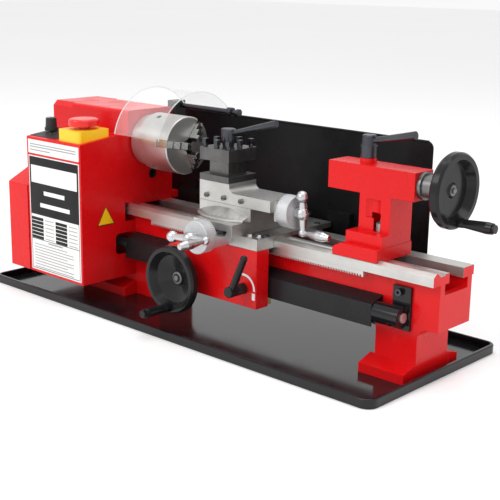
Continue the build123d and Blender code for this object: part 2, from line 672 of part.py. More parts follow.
def make_drive():
    spindle_c, tumbler_c, stud_c, screw_c = train_centres()
    outer_x = (TRAIN_X, TRAIN_X + GEAR_WIDTH)
    inner_x = (TRAIN_X - TRAIN_GAP - GEAR_WIDTH, TRAIN_X - TRAIN_GAP)
    tumbler_a = mesh_angle(SPINDLE_TEETH, 0, TUMBLER_TEETH, direction(spindle_c, tumbler_c))
    stud_a = mesh_angle(TUMBLER_TEETH, tumbler_a, STUD_TEETH, direction(tumbler_c, stud_c))
    screw_a = mesh_angle(STUD_PINION_TEETH, 0, SCREW_TEETH, direction(stud_c, screw_c))

    with BuildPart() as spindle:
        rod((PULLEY_X, 0, SPINDLE_Z), (1, 0, 0), NOSE_X - PULLEY_X, SPINDLE_R)
        rod((NOSE_X - 3, 0, SPINDLE_Z), (1, 0, 0), CHUCK_X[0] - NOSE_X + 3, NOSE_R)
        rod((PULLEY_X - 1, 0, SPINDLE_Z), (1, 0, 0), 300, SPINDLE_BORE_R, Mode.SUBTRACT)
    save(spindle, "spindle")

    with BuildPart() as gear:
        spur_x(SPINDLE_TEETH, spindle_c, 0, outer_x, SPINDLE_R)
    save(gear, "spindle_gear")

    with BuildPart() as pulley:
        rod((PULLEY_X, 0, SPINDLE_Z), (1, 0, 0), BELT_WIDTH + 2, SPINDLE_PULLEY_R)
        rod((PULLEY_X - 1, 0, SPINDLE_Z), (1, 0, 0), BELT_WIDTH + 4, SPINDLE_R, Mode.SUBTRACT)
    save(pulley, "spindle_pulley")

    with BuildPart() as tumbler:
        spur_x(TUMBLER_TEETH, tumbler_c, tumbler_a, outer_x, 5 + RUN)
    save(tumbler, "tumbler_gear")

    with BuildPart() as stud:
        spur_x(STUD_TEETH, stud_c, stud_a, outer_x, 5 + RUN)
        spur_x(STUD_PINION_TEETH, stud_c, 0, (inner_x[0], outer_x[0] + 0.5), 5 + RUN)
    save(stud, "stud_gears")

    with BuildPart() as banjo:
        # the plate on the headstock's left face that carries the two gear studs
        plate_x = (HEAD_X[0] - 4.0, HEAD_X[0] - SEAT)
        along_x(
            [
                (tumbler_c[0] - 14, tumbler_c[1] + 12),
                (stud_c[0] - 12, stud_c[1] - 14),
                (stud_c[0] + 12, stud_c[1] - 14),
                (tumbler_c[0] + 14, tumbler_c[1] + 12),
            ],
            plate_x,
        )
        for centre, left in ((tumbler_c, outer_x[0]), (stud_c, inner_x[0])):
            rod((left - 1, *centre), (1, 0, 0), plate_x[1] - left + 1, 5)
            rod((outer_x[1] + GAP, *centre), (1, 0, 0), plate_x[0] - outer_x[1] - GAP + 1, 8)
    save(banjo, "change_gear_plate")

    with BuildPart() as leadscrew:
        spur_x(SCREW_TEETH, screw_c, screw_a, inner_x, LEADSCREW_END_R - 1)
        rod((inner_x[0], *LEADSCREW_YZ), (1, 0, 0), LEADSCREW_X[1] - inner_x[0], LEADSCREW_END_R)
        rod((LEADSCREW_X[0], *LEADSCREW_YZ), (1, 0, 0), BOSS_X[0] - 2 - LEADSCREW_X[0], LEADSCREW_R)
    save(leadscrew, "leadscrew")

    with BuildPart() as motor:
        block((MOTOR_X[0] - 4, MOTOR_X[0]), (BACK_WEB, MOTOR_YZ[0] + 20), (34.0, 104.0))
        rod((MOTOR_X[0] - 5, *MOTOR_YZ), (1, 0, 0), 6, 14, Mode.SUBTRACT)
        block((MOTOR_X[0], MOTOR_X[0] + 34), (BACK_WEB, BACK_WEB + 4), (34.0, 104.0))
        rod((MOTOR_X[0], *MOTOR_YZ), (1, 0, 0), MOTOR_X[1] - MOTOR_X[0], MOTOR_R)
        rod((MOTOR_X[1] - 1, *MOTOR_YZ), (1, 0, 0), 7, MOTOR_R - 6)
        fillet(motor.faces().sort_by(Axis.X)[-1].edges(), 3)
        rod((MOTOR_X[0] - 1, *MOTOR_YZ), (1, 0, 0), 50, MOTOR_SHAFT_R + RUN, Mode.SUBTRACT)
    save(motor, "motor")

    with BuildPart() as motor_pulley:
        rod((PULLEY_X, *MOTOR_YZ), (1, 0, 0), MOTOR_X[0] + 40 - PULLEY_X, MOTOR_SHAFT_R)
        rod((PULLEY_X, *MOTOR_YZ), (1, 0, 0), BELT_WIDTH + 2, MOTOR_PULLEY_R)
    save(motor_pulley, "motor_pulley")

    make_belt()


def make_belt():
    """A closed band round the two pulleys, with straight runs tangent to both."""
    a, b = (0.0, SPINDLE_Z), MOTOR_YZ
    span = math.hypot(b[0] - a[0], b[1] - a[1])
    heading = direction(a, b)

    def band(extra):
        ra, rb = SPINDLE_PULLEY_R + GAP + extra, MOTOR_PULLEY_R + GAP + extra
        lean = math.acos((ra - rb) / span)
        corners = []
        for side in (1, -1):
            turn = heading + side * lean
            for centre, radius in ((a, ra), (b, rb)):
                corners.append((centre[0] + radius * math.cos(turn), centre[1] + radius * math.sin(turn)))
        along_x([corners[0], corners[1], corners[3], corners[2]], (belt_x[0], belt_x[1]))
        for centre, radius in ((a, ra), (b, rb)):
            rod((belt_x[0], *centre), (1, 0, 0), BELT_WIDTH, radius)

    belt_x = (PULLEY_X + 1, PULLEY_X + 1 + BELT_WIDTH)
    with BuildPart() as inner:
        band(0)
    with BuildPart() as belt:
        band(BELT_THICK)
        add(inner.part, mode=Mode.SUBTRACT)
    save(belt, "drive_belt")


# ---------------------------------------------------------------- chuck
def make_chuck():
    scroll_x = (CHUCK_X[1] - JAW_DEPTH - GAP - SCROLL_THICK - GAP, CHUCK_X[1] - JAW_DEPTH - GAP)
    with BuildPart() as chuck_body:
        rod((CHUCK_X[0], 0, SPINDLE_Z), (1, 0, 0), CHUCK_X[1] - CHUCK_X[0], CHUCK_R)
        chamfer(chuck_body.edges().filter_by(GeomType.CIRCLE), 1.2)
        rod((CHUCK_X[0] - 1, 0, SPINDLE_Z), (1, 0, 0), 80, 8, Mode.SUBTRACT)
        with BuildSketch(Plane.YZ.offset(scroll_x[0])) as chamber:
            with Locations((0, SPINDLE_Z)):
                Circle(SCROLL_R + GAP)
                Circle(12 - RUN, mode=Mode.SUBTRACT)
        extrude(chamber.sketch, amount=SCROLL_THICK + GAP, mode=Mode.SUBTRACT)
        for angle in JAW_ANGLES:
            slot = Plane(
                origin=(CHUCK_X[1] - JAW_DEPTH - GAP, 0, SPINDLE_Z),
                x_dir=(0, math.cos(math.radians(angle)), math.sin(math.radians(angle))),
                z_dir=(1, 0, 0),
            )
            with BuildSketch(slot) as radial:
                Rectangle(CHUCK_R + 2, JAW_W + 2 * GAP, align=(Align.MIN, Align.CENTER))
            extrude(radial.sketch, amount=JAW_DEPTH + 2, mode=Mode.SUBTRACT)
            key = math.radians(angle + 60)
            hole = Plane(
                origin=(scroll_x[0] - 11, CHUCK_R * math.cos(key), SPINDLE_Z + CHUCK_R * math.sin(key)),
                x_dir=(1, 0, 0),
                z_dir=(0, math.cos(key), math.sin(key)),
            )
            with BuildSketch(hole) as key_hole:
                Rectangle(7, 7)
            extrude(key_hole.sketch, amount=-10, mode=Mode.SUBTRACT)
    save(chuck_body, "chuck_body")

    with BuildPart() as scroll:
        with BuildSketch(Plane.YZ.offset(scroll_x[0] + GAP / 2)) as ring:
            with Locations((0, SPINDLE_Z)):
                Circle(SCROLL_R)
                Circle(12, mode=Mode.SUBTRACT)
        extrude(ring.sketch, amount=SCROLL_THICK)
    save(scroll, "chuck_scroll")

    for number, angle in enumerate(JAW_ANGLES, 1):
        radial = Plane(
            origin=(CHUCK_X[1], 0, SPINDLE_Z),
            x_dir=(0, math.cos(math.radians(angle)), math.sin(math.radians(angle))),
            z_dir=(1, 0, 0),
        )
        wedge = JAW_W / 2 / math.tan(math.radians(60))
        with BuildPart() as jaw:
            inner_r = JAW_TIP_R
            for outer_r, height in JAW_STEPS:
                with BuildSketch(radial.offset(-JAW_DEPTH)) as step:
                    if inner_r == JAW_TIP_R:
                        Polygon(
                            (inner_r, 0),
                            (inner_r + wedge, -JAW_W / 2),
                            (outer_r, -JAW_W / 2),
                            (outer_r, JAW_W / 2),
                            (inner_r + wedge, JAW_W / 2),
                            align=None,
                        )
                    else:
                        with Locations(((inner_r + outer_r) / 2, 0)):
                            Rectangle(outer_r - inner_r + 0.01, JAW_W)
                extrude(step.sketch, amount=JAW_DEPTH + height)
                inner_r = outer_r
            with BuildSketch(radial.offset(-JAW_DEPTH)) as heel:
                with Locations(((inner_r + JAW_END_R) / 2, 0)):
                    Rectangle(JAW_END_R - inner_r + 0.01, JAW_W)
            extrude(heel.sketch, amount=JAW_DEPTH - 0.5)
        save(jaw, f"chuck_jaw_{number}")


# ---------------------------------------------------------------- guards
def make_guards():
    rod_start = (GUARD_ROD_X[0], *GUARD_ROD_YZ)
    start_deg = math.degrees(math.atan2(GUARD_ROD_YZ[1] - SPINDLE_Z, GUARD_ROD_YZ[0])) + 1.0
    with BuildPart() as guard_rod:
        rod(rod_start, (1, 0, 0), GUARD_ROD_X[1] - GUARD_ROD_X[0], GUARD_ROD_R)
        rod((GUARD_X[1] + 1, *GUARD_ROD_YZ), (1, 0, 0), 8, GUARD_ROD_R + 2.5)
        rod((GUARD_ROD_X[1] - 1, *GUARD_ROD_YZ), (1, 0, 0), 4, GUARD_ROD_R + 1.5)
    save(guard_rod, "guard_rod")

    with BuildPart() as guard:
        outer, inner = GUARD_R, GUARD_R - GUARD_SHEET
        with BuildSketch(Plane.YZ.offset(GUARD_X[0])) as sheet:
            with BuildLine():
                arcs = [
                    [
                        (r * math.cos(math.radians(d)), SPINDLE_Z + r * math.sin(math.radians(d)))
                        for d in (start_deg, (start_deg + GUARD_END_DEG) / 2, GUARD_END_DEG)
                    ]
                    for r in (outer, inner)
                ]
                ThreePointArc(*arcs[0])
                Line(arcs[0][2], arcs[1][2])
                ThreePointArc(*arcs[1])
                Line(arcs[1][0], arcs[0][0])
            make_face()
        extrude(sheet.sketch, amount=GUARD_X[1] - GUARD_X[0])
        rod((GUARD_X[0] - 1, *GUARD_ROD_YZ), (1, 0, 0), 120, GUARD_ROD_R + SEAT, Mode.SUBTRACT)
    save(guard, "chuck_guard")

    with BuildPart() as bracket:
        bracket_x = (HEAD_X[1] - 9.0, HEAD_X[1] + 7.0)
        block(bracket_x, (HEAD_Y[1] + SEAT, GUARD_ROD_YZ[0] + 7), (252.0, GUARD_ROD_YZ[1] + 7))
        rod((GUARD_ROD_X[0] - 6, *GUARD_ROD_YZ), (1, 0, 0), 60, GUARD_ROD_R + RUN, Mode.SUBTRACT)
    save(bracket, "guard_bracket")

    with BuildPart() as splash:
        with BuildSketch(Plane.XZ.offset(-SPLASH_Y - SPLASH_SHEET)) as panel:
            with Locations(((SPLASH_X[0] + SPLASH_X[1]) / 2, (SPLASH_Z[0] + SPLASH_Z[1]) / 2)):
                RectangleRounded(
                    SPLASH_X[1] - SPLASH_X[0], SPLASH_Z[1] - SPLASH_Z[0], SPLASH_CORNER
                )
        extrude(panel.sketch, amount=SPLASH_SHEET)
        block(
            (SPLASH_X[0], SPLASH_X[1]),
            (SPLASH_Y, SPLASH_Y + SPLASH_SHEET),
            (SPLASH_Z[0], SPLASH_Z[0] + 2 * SPLASH_CORNER),
        )
        block(
            (SPLASH_X[0] + SPLASH_CORNER, SPLASH_X[1] - SPLASH_CORNER),
            (SPLASH_Y, SPLASH_Y + 5),
            (SPLASH_Z[1] - SPLASH_SHEET, SPLASH_Z[1]),
        )
        # the foot flange runs forward to the back of the bed beside the pillars
        block(
            (HEAD_X[1] + 2, SPLASH_X[1]),
            (BACK_WEB, SPLASH_Y + SPLASH_SHEET),
            (SPLASH_Z[0], SPLASH_Z[0] + SPLASH_SHEET),
        )
        block(
            (HEAD_X[1] + 2, SPLASH_X[1]),
            (BACK_WEB, BACK_WEB + SPLASH_SHEET),
            (SPLASH_Z[0] - 16, SPLASH_Z[0] + SPLASH_SHEET),
        )
        for x in SPLASH_SCREW_X:
            rod((x, BACK_WEB - 1, SPLASH_Z[0] - 8), (0, 1, 0), 4, 2.5 + SEAT, Mode.SUBTRACT)
        # the block that stiffens the panel behind the saddle
        block(STAY_X, (SADDLE_Y[1] + 2, SPLASH_Y), (SPLASH_Z[0], STAY_TOP))
    save(splash, "splash_guard")


# ---------------------------------------------------------------- rack and leadscrew supports
def make_rack():
    pitch = math.pi * RACK_MODULE
    pitch_z = rack_pitch_z()
    with BuildPart() as rack:
        block(RACK_X, RACK_Y, RACK_Z)
        count = int((RACK_X[1] - RACK_X[0] - 4) / pitch)
        phase = rack_gap_x()
        first = math.ceil((RACK_X[0] + 3 - phase) / pitch)
        for k in range(first, first + count):
            x = phase + k * pitch
            bottom = pitch_z - 0.9 * RACK_MODULE
            root = pitch_z + 1.1 * RACK_MODULE
            if x + pitch / 2 > RACK_X[1] - 1:
                break
            along_y(
                [
                    (x - 0.40 * pitch, bottom - 0.5),
                    (x - 0.17 * pitch, root),
                    (x + 0.17 * pitch, root),
                    (x + 0.40 * pitch, bottom - 0.5),
                ],
                (RACK_Y[0] - 1, RACK_Y[1] + 1),
                Mode.SUBTRACT,
            )
    save(rack, "rack")


def rack_pitch_z():
    return RACK_Z[0] + 0.9 * RACK_MODULE


def rack_pinion_centre():
    return (RACK_PINION_X, rack_pitch_z() - RACK_MODULE * RACK_PINION_TEETH / 2)


def rack_gap_x():
    """Place of a gap in the rack that faces a tooth of the rack pinion."""
    return RACK_PINION_X


def make_leadscrew_supports():
    y, z = LEADSCREW_YZ
    plate_y = (FRONT_WEB - BRACKET_PLATE, FRONT_WEB)
    with BuildPart() as brackets:
        block(BRACKET_X, plate_y, BRACKET_Z)
        block((BRACKET_X[0], BOSS_X[1]), (y, plate_y[1]), (z - BOSS_R * 0.8, z + BOSS_R * 0.8))
        rod((BOSS_X[0], y, z), (1, 0, 0), BOSS_X[1] - BOSS_X[0], BOSS_R)
        block(LEFT_BRACKET_X, plate_y, (55.0, 98.0))
        block(LEFT_BRACKET_X, (y, plate_y[1]), (z - BOSS_R * 0.7, z + BOSS_R * 0.7))
        rod((LEFT_BRACKET_X[0], y, z), (1, 0, 0), LEFT_BRACKET_X[1] - LEFT_BRACKET_X[0], BOSS_R - 3)
        block((BED_X[0], BED_X[1]), (FRONT_WEB, 0), (z - 30, z + 40), Mode.SUBTRACT)
        rod((BED_X[0], y, z), (1, 0, 0), BED_X[1] - BED_X[0], LEADSCREW_END_R + RUN, Mode.SUBTRACT)
        for screw_z in BRACKET_SCREW_Z:
            rod((BRACKET_SCREW_X, plate_y[0] - 1, screw_z), (0, 1, 0), 8, 2.5 + SEAT, Mode.SUBTRACT)
            rod((BRACKET_SCREW_X, plate_y[0], screw_z), (0, -1, 0), 30, 4.3 + GAP, Mode.SUBTRACT)
    save(brackets, "leadscrew_brackets")

    with BuildPart() as hood:
        front, back, t = HOOD_RIDGE_Y, FRONT_WEB - SEAT, HOOD_SHEET
        along_x(
            [
                (back, HOOD_Z[2]),
                (front, HOOD_Z[1]),
                (front, HOOD_Z[0]),
                (front + t, HOOD_Z[0]),
                (front + t, HOOD_Z[1] - t),
                (back - t, HOOD_Z[2] - t),
                (back - t, HOOD_Z[2] - 12),
                (back, HOOD_Z[2] - 12),
            ],
            HOOD_X,
        )
    save(hood, "leadscrew_hood")


# ---------------------------------------------------------------- carriage
def make_saddle():
    with BuildPart() as saddle:
        block(SADDLE_X, SADDLE_Y, (SADDLE_APRON_Z, SADDLE_TOP))
        along_x(way_outline(GAP), (SADDLE_X[0] - 1, SADDLE_X[1] + 1), Mode.SUBTRACT)
        block(
            (SADDLE_X[0] - 1, SADDLE_X[1] + 1),
            (WAY_HALF + 12, SADDLE_Y[1] + 1),
            (SADDLE_APRON_Z - 1, SADDLE_TOP - 7),
            Mode.SUBTRACT,
        )
        # dovetail ridge for the cross-slide, with a channel along it for the feed screw
        along_y(dovetail(CROSS_X, CROSS_DOVETAIL, SADDLE_TOP, CROSS_DOVE_H, 0), SADDLE_Y)
        block(
            (CROSS_X - CROSS_CHANNEL, CROSS_X + CROSS_CHANNEL),
            (SADDLE_Y[0] - 1, SADDLE_Y[1] + 1),
            (CROSS_SCREW_Z - FEED_SCREW_R - GAP, SADDLE_TOP + 10),
            Mode.SUBTRACT,
        )
    save(saddle, "saddle")

    with BuildPart() as gib:
        gib_y = (BACK_WEB + GAP, WAY_HALF + 12)
        block((SADDLE_X[0] + 3, SADDLE_X[1] - 3), gib_y, (WAY_TOP - WAY_SIDE - 6, WAY_TOP - WAY_SIDE - GAP))
        block(
            (SADDLE_X[0] + 3, SADDLE_X[1] - 3),
            (WAY_HALF + GAP, WAY_HALF + 12),
            (WAY_TOP - WAY_SIDE - 6, SADDLE_APRON_Z),
        )
    save(gib, "saddle_gib")


def dovetail(centre, half, z, height, gap):
    """Outline of a dovetail ridge, wider at its top, on a face at height z."""
    lean = height * 0.55
    return [
        (centre - half + lean - gap, z - 1),
        (centre - half + lean - gap, z),
        (centre - half - gap, z + height + gap),
        (centre + half + gap, z + height + gap),
        (centre + half - lean + gap, z),
        (centre + half - lean + gap, z - 1),
    ]


def apron_train():
    """Centres, in (x, z), and tooth angles of the apron's gears."""
    half = GEAR_MODULE / 2
    rack_c = rack_pinion_centre()
    idler_c = third_corner(
        rack_c,
        CARRIAGE_WHEEL_XZ,
        half * (IDLER_TEETH + RACK_GEAR_TEETH),
        half * (HAND_PINION_TEETH + IDLER_TEETH),
    )
    idler_a = mesh_angle(HAND_PINION_TEETH, 0, IDLER_TEETH, direction(CARRIAGE_WHEEL_XZ, idler_c))
    gear_a = mesh_angle(IDLER_TEETH, idler_a, RACK_GEAR_TEETH, direction(idler_c, rack_c))
    return idler_c, rack_c, idler_a, gear_a


def make_apron():
    idler_c, rack_c, idler_a, gear_a = apron_train()
    train_y = (APRON_Y[0] + APRON_WALL + 1.5, APRON_Y[0] + APRON_WALL + 7.5)
    back_plate = 3.0
    plate_y = (APRON_Y[1] - back_plate, APRON_Y[1])
    with BuildPart() as apron:
        block(APRON_X, APRON_Y, (APRON_BOTTOM, SADDLE_APRON_Z))
        block((APRON_WING_X, APRON_X[0] + 1), APRON_Y, APRON_WING_Z)
        fillet(apron.edges().filter_by(Axis.Y).sort_by(Axis.X)[:2], 10)
        block(
            (APRON_X[0] + APRON_WALL, APRON_X[1] - APRON_WALL),
            (APRON_Y[0] + APRON_WALL, APRON_Y[1] + 1),
            (APRON_BOTTOM + APRON_WALL, SADDLE_APRON_Z - 1),
            Mode.SUBTRACT,
        )
        block(
            (APRON_WING_X + APRON_WALL, APRON_X[0] + APRON_WALL + 1),
            (APRON_Y[0] + APRON_WALL, APRON_Y[1] + 1),
            (APRON_WING_Z[0] + APRON_WALL, APRON_WING_Z[1] - APRON_WALL),
            Mode.SUBTRACT,
        )
        wheel_x, wheel_z = CARRIAGE_WHEEL_XZ
        rod((wheel_x, APRON_Y[0] - 1, wheel_z), (0, 1, 0), 20, WHEEL_SHAFT_R + RUN, Mode.SUBTRACT)
        lever_x, lever_z = HALF_NUT_LEVER_XZ
        rod((lever_x, APRON_Y[0] - 1, lever_z), (0, 1, 0), 20, 5 + RUN, Mode.SUBTRACT)
        # way through the back edge for the half nut's arm
        block(
            (HALF_NUT_X[0] - 1, HALF_NUT_X[1] + 1),
            (APRON_Y[1] - 10, APRON_Y[1] + 1),
            (APRON_BOTTOM - 1, APRON_BOTTOM + APRON_WALL + 1),
            Mode.SUBTRACT,
        )
        # the inner plate that closes the back and carries the idler's stud
        block((APRON_WING_X + 3, APRON_X[0] + 3), plate_y, (APRON_WING_Z[0] + 3, APRON_WING_Z[1] - 3))
        block((APRON_X[0] + 3, 6.0), plate_y, (APRON_BOTTOM + 3, SADDLE_APRON_Z - 1))
        rod((idler_c[0], train_y[0], idler_c[1]), (0, 1, 0), plate_y[1] - train_y[0], 4)
        rod((wheel_x, plate_y[0] - 1, wheel_z), (0, 1, 0), 8, WHEEL_SHAFT_R + RUN, Mode.SUBTRACT)
        rod((rack_c[0], plate_y[0] - 1, rack_c[1]), (0, 1, 0), 8, 4 + RUN, Mode.SUBTRACT)
    save(apron, "apron")

    with BuildPart() as idler:
        spur_y(IDLER_TEETH, idler_c, idler_a, train_y, 4 + RUN)
    save(idler, "apron_idler_gear")

    with BuildPart() as pinion_shaft:
        spur_y(RACK_GEAR_TEETH, rack_c, gear_a, train_y, 4)
        rod((rack_c[0], train_y[0], rack_c[1]), (0, 1, 0), RACK_Y[1] - train_y[0], 4)
        tooth = math.pi / 2
        spur_y(
            RACK_PINION_TEETH,
            rack_c,
            tooth,
            (RACK_Y[0] - 2, RACK_Y[1]),
            3,
            RACK_MODULE,
        )
        rod((rack_c[0], RACK_Y[0] - 2, rack_c[1]), (0, 1, 0), RACK_Y[1] - RACK_Y[0] + 2, 4)
    save(pinion_shaft, "rack_pinion_shaft")

    make_carriage_wheel(train_y, plate_y)
    make_half_nut()


def make_carriage_wheel(train_y, plate_y):
    wheel_x, wheel_z = CARRIAGE_WHEEL_XZ
    hub_back = APRON_Y[0] - GAP
    rim_front, rim_back = CARRIAGE_RIM_Y
    radius = CARRIAGE_WHEEL_R
    centre = (wheel_x, 0, wheel_z)
    handle_z = wheel_z - 36
    with BuildPart() as wheel:
        spun(
            [
                (0, rim_front + 16),
                (9, rim_front + 16),
                (11, rim_front + 19),
                (radius - 13, rim_front + 10),
                (radius - 7, rim_front),
                (radius - 2, rim_front),
                (radius, rim_front + 3),
                (radius, rim_back - 3),
                (radius - 2, rim_back),
                (radius - 9, rim_back),
                (radius - 14, rim_back + 3),
                (13, rim_front + 26),
                (11, hub_back),
                (0, hub_back),
            ],
            centre,
            (0, 1, 0),
        )
        # its shaft, with the pinion cut on it
        rod((wheel_x, rim_front + 15, wheel_z), (0, 1, 0), train_y[0] - rim_front - 15, WHEEL_SHAFT_R)
        spur_y(HAND_PINION_TEETH, CARRIAGE_WHEEL_XZ, 0, train_y, 3)
        rod((wheel_x, train_y[0] - 1, wheel_z), (0, 1, 0), plate_y[0] - train_y[0] + 1, 5)
        rod((wheel_x, plate_y[0] - 2, wheel_z), (0, 1, 0), plate_y[1] - plate_y[0] + 2, WHEEL_SHAFT_R)
        # the pin its grip turns on
        rod((wheel_x, rim_front - 42, handle_z), (0, 1, 0), 50, 3)
        rod((wheel_x, rim_front - 45, handle_z), (0, 1, 0), 3.4, 5)
    save(wheel, "carriage_wheel")
    with BuildPart() as grip:
        spun(
            [
                (3 + RUN, rim_front - 41),
                (6.0, rim_front - 41),
                (6.6, rim_front - 36),
                (5.4, rim_front - 10),
                (6.4, rim_front - 6),
                (6.4, rim_front - GAP),
                (3 + RUN, rim_front - GAP),
            ],
            (wheel_x, 0, handle_z),
            (0, 1, 0),
        )
    save(grip, "carriage_grip")


def make_half_nut():
    y, z = LEADSCREW_YZ
    top = z - LEADSCREW_R - GAP - HALF_NUT_LIFT + 3
    arm_top = HOOD_Z[0] - HALF_NUT_LIFT - GAP
    with BuildPart() as nut:
        block(HALF_NUT_X, (y - 8, y + 9), (arm_top - 9, top))
        block(HALF_NUT_X, (APRON_Y[1] - 8, y), (arm_top - 9, arm_top))
        rod(
            (HALF_NUT_X[0] - 1, y, z - HALF_NUT_LIFT),
            (1, 0, 0),
            HALF_NUT_X[1] - HALF_NUT_X[0] + 2,
            LEADSCREW_R + GAP,
            Mode.SUBTRACT,
        )
    save(nut, "half_nut")

    lever_x, lever_z = HALF_NUT_LEVER_XZ
    hub_y = (-103.0, APRON_Y[0] - GAP)
    lean = math.radians(24)
    with BuildPart() as lever:
        rod((lever_x, hub_y[0], lever_z), (0, 1, 0), hub_y[1] - hub_y[0], 7)
        fillet(lever.faces().sort_by(Axis.Y)[0].edges(), 1.5)
        rod((lever_x, hub_y[1] - 1, lever_z), (0, 1, 0), APRON_WALL + 4, 5)
        taper(
            (lever_x, hub_y[0] + 7, lever_z),
            (math.sin(lean), 0, math.cos(lean)),
            50,
            5.0,
            4.2,
        )
        ball((lever_x + 50 * math.sin(lean), hub_y[0] + 7, lever_z + 50 * math.cos(lean)), 4.6)
    save(lever, "half_nut_lever")


# ---------------------------------------------------------------- cross-slide
def make_cross_slide():
    half = CROSS_W / 2
    with BuildPart() as slide:
        block((CROSS_X - half, CROSS_X + half), CROSS_Y, CROSS_Z)
        groove = dovetail(CROSS_X, CROSS_DOVETAIL, SADDLE_TOP, CROSS_DOVE_H, GAP)
        along_y(groove, (CROSS_Y[0] - 1, CROSS_Y[1] + 1), Mode.SUBTRACT)
        # the feed nut hangs under the slide, over the screw
        nut_x = (CROSS_X - CROSS_CHANNEL + GAP, CROSS_X + CROSS_CHANNEL - GAP)
        block(nut_x, CROSS_NUT_Y, (V_TOP + 2 * GAP, SADDLE_TOP + CROSS_DOVE_H + 1))
        rod(
            (CROSS_X, CROSS_NUT_Y[0] - 1, CROSS_SCREW_Z),
            (0, 1, 0),
            CROSS_NUT_Y[1] - CROSS_NUT_Y[0] + 2,
            FEED_SCREW_R + RUN,
            Mode.SUBTRACT,
        )
    save(slide, "cross_slide")


def bead(centre, radius, neck_in, neck_out):
    """A ball's outline as (radius, distance) points, cut where it meets a neck on either side."""
    first = math.asin(neck_in / radius)
    last = math.pi - math.asin(neck_out / radius)
    turns = [first + (last - first) * k / 12 for k in range(13)]
    return [(round(radius * math.sin(turn), 6), centre - radius * math.cos(turn)) for turn in turns]


def crank(name, start, direction_in, arm_axis, arm_ball, arm_grip, grip_len):
    """A ball crank: hub along its screw, ball at one end of the arm, handle at the other."""
    hub, along, arm = Vector(*start), Vector(*direction_in), Vector(*arm_axis)
    middle = hub + along * CRANK_ARM
    arm_outline = bead(-arm_grip, 5.5, 0, 4.0) + bead(0, 8.5, 5.2, 5.2) + bead(arm_ball, 7.5, 4.2, 0)
    with BuildPart() as part:
        spun(arm_outline, tuple(middle), tuple(arm))
        rod(tuple(hub), tuple(along), CRANK_HUB, 7)
        spun(
            [
                (0, 0),
                (3.2, 0),
                (3.2, 7),
                (6.2, grip_len * 0.55),
                (6.2, grip_len * 0.75),
                (3.6, grip_len - 1),
                (0, grip_len),
            ],
            tuple(middle - arm * arm_grip),
            tuple(along),
        )
        rod(tuple(hub - along), tuple(along), 9, CRANK_BORE_R, Mode.SUBTRACT)
    save(part, name)


def make_cross_feed():
    y0, y1 = CROSS_DIAL_Y
    with BuildPart() as bracket:
        rod((CROSS_X, y1, CROSS_SCREW_Z), (0, 1, 0), SADDLE_Y[0] - y1, CROSS_BOSS_R)
        over = (CROSS_X - CROSS_BOSS_R - 1, CROSS_X + CROSS_BOSS_R + 1)
        block(over, (y1 - 1, SADDLE_Y[0] + 1), (SADDLE_TOP, SPINDLE_Z), Mode.SUBTRACT)
        block(over, (APRON_Y[0], SADDLE_Y[0]), (APRON_BOTTOM, SADDLE_APRON_Z), Mode.SUBTRACT)
        rod((CROSS_X, y1 - 1, CROSS_SCREW_Z), (0, 1, 0), 60, FEED_SCREW_R + RUN, Mode.SUBTRACT)
    save(bracket, "cross_feed_bracket")
    with BuildPart() as screw:
        rod((CROSS_X, y0, CROSS_SCREW_Z), (0, 1, 0), y1 - y0 - GAP, CROSS_DIAL_R)
        chamfer(screw.edges().filter_by(GeomType.CIRCLE), 0.8)
        rod((CROSS_X, y0 - 8, CROSS_SCREW_Z), (0, 1, 0), 12, CRANK_BORE_R)
        rod((CROSS_X, y1 - 2, CROSS_SCREW_Z), (0, 1, 0), SADDLE_Y[0] - y1, FEED_SCREW_R)
        # a thin neck carries the screw over the bed's V
        rod((CROSS_X, SADDLE_Y[0] - 3, CROSS_SCREW_Z), (0, 1, 0), 50, FEED_NECK_R)
        rod((CROSS_X, CROSS_THREAD_Y[0], CROSS_SCREW_Z), (0, 1, 0), THREAD_LEN, FEED_SCREW_R)
    save(screw, "cross_feed_screw")
    lean = math.radians(5)
    ball_axis = (-math.cos(lean), 0, -math.sin(lean))
    crank("cross_feed_crank", (CROSS_X, y0, CROSS_SCREW_Z), (0, -1, 0), ball_axis, 31, 27, 44)


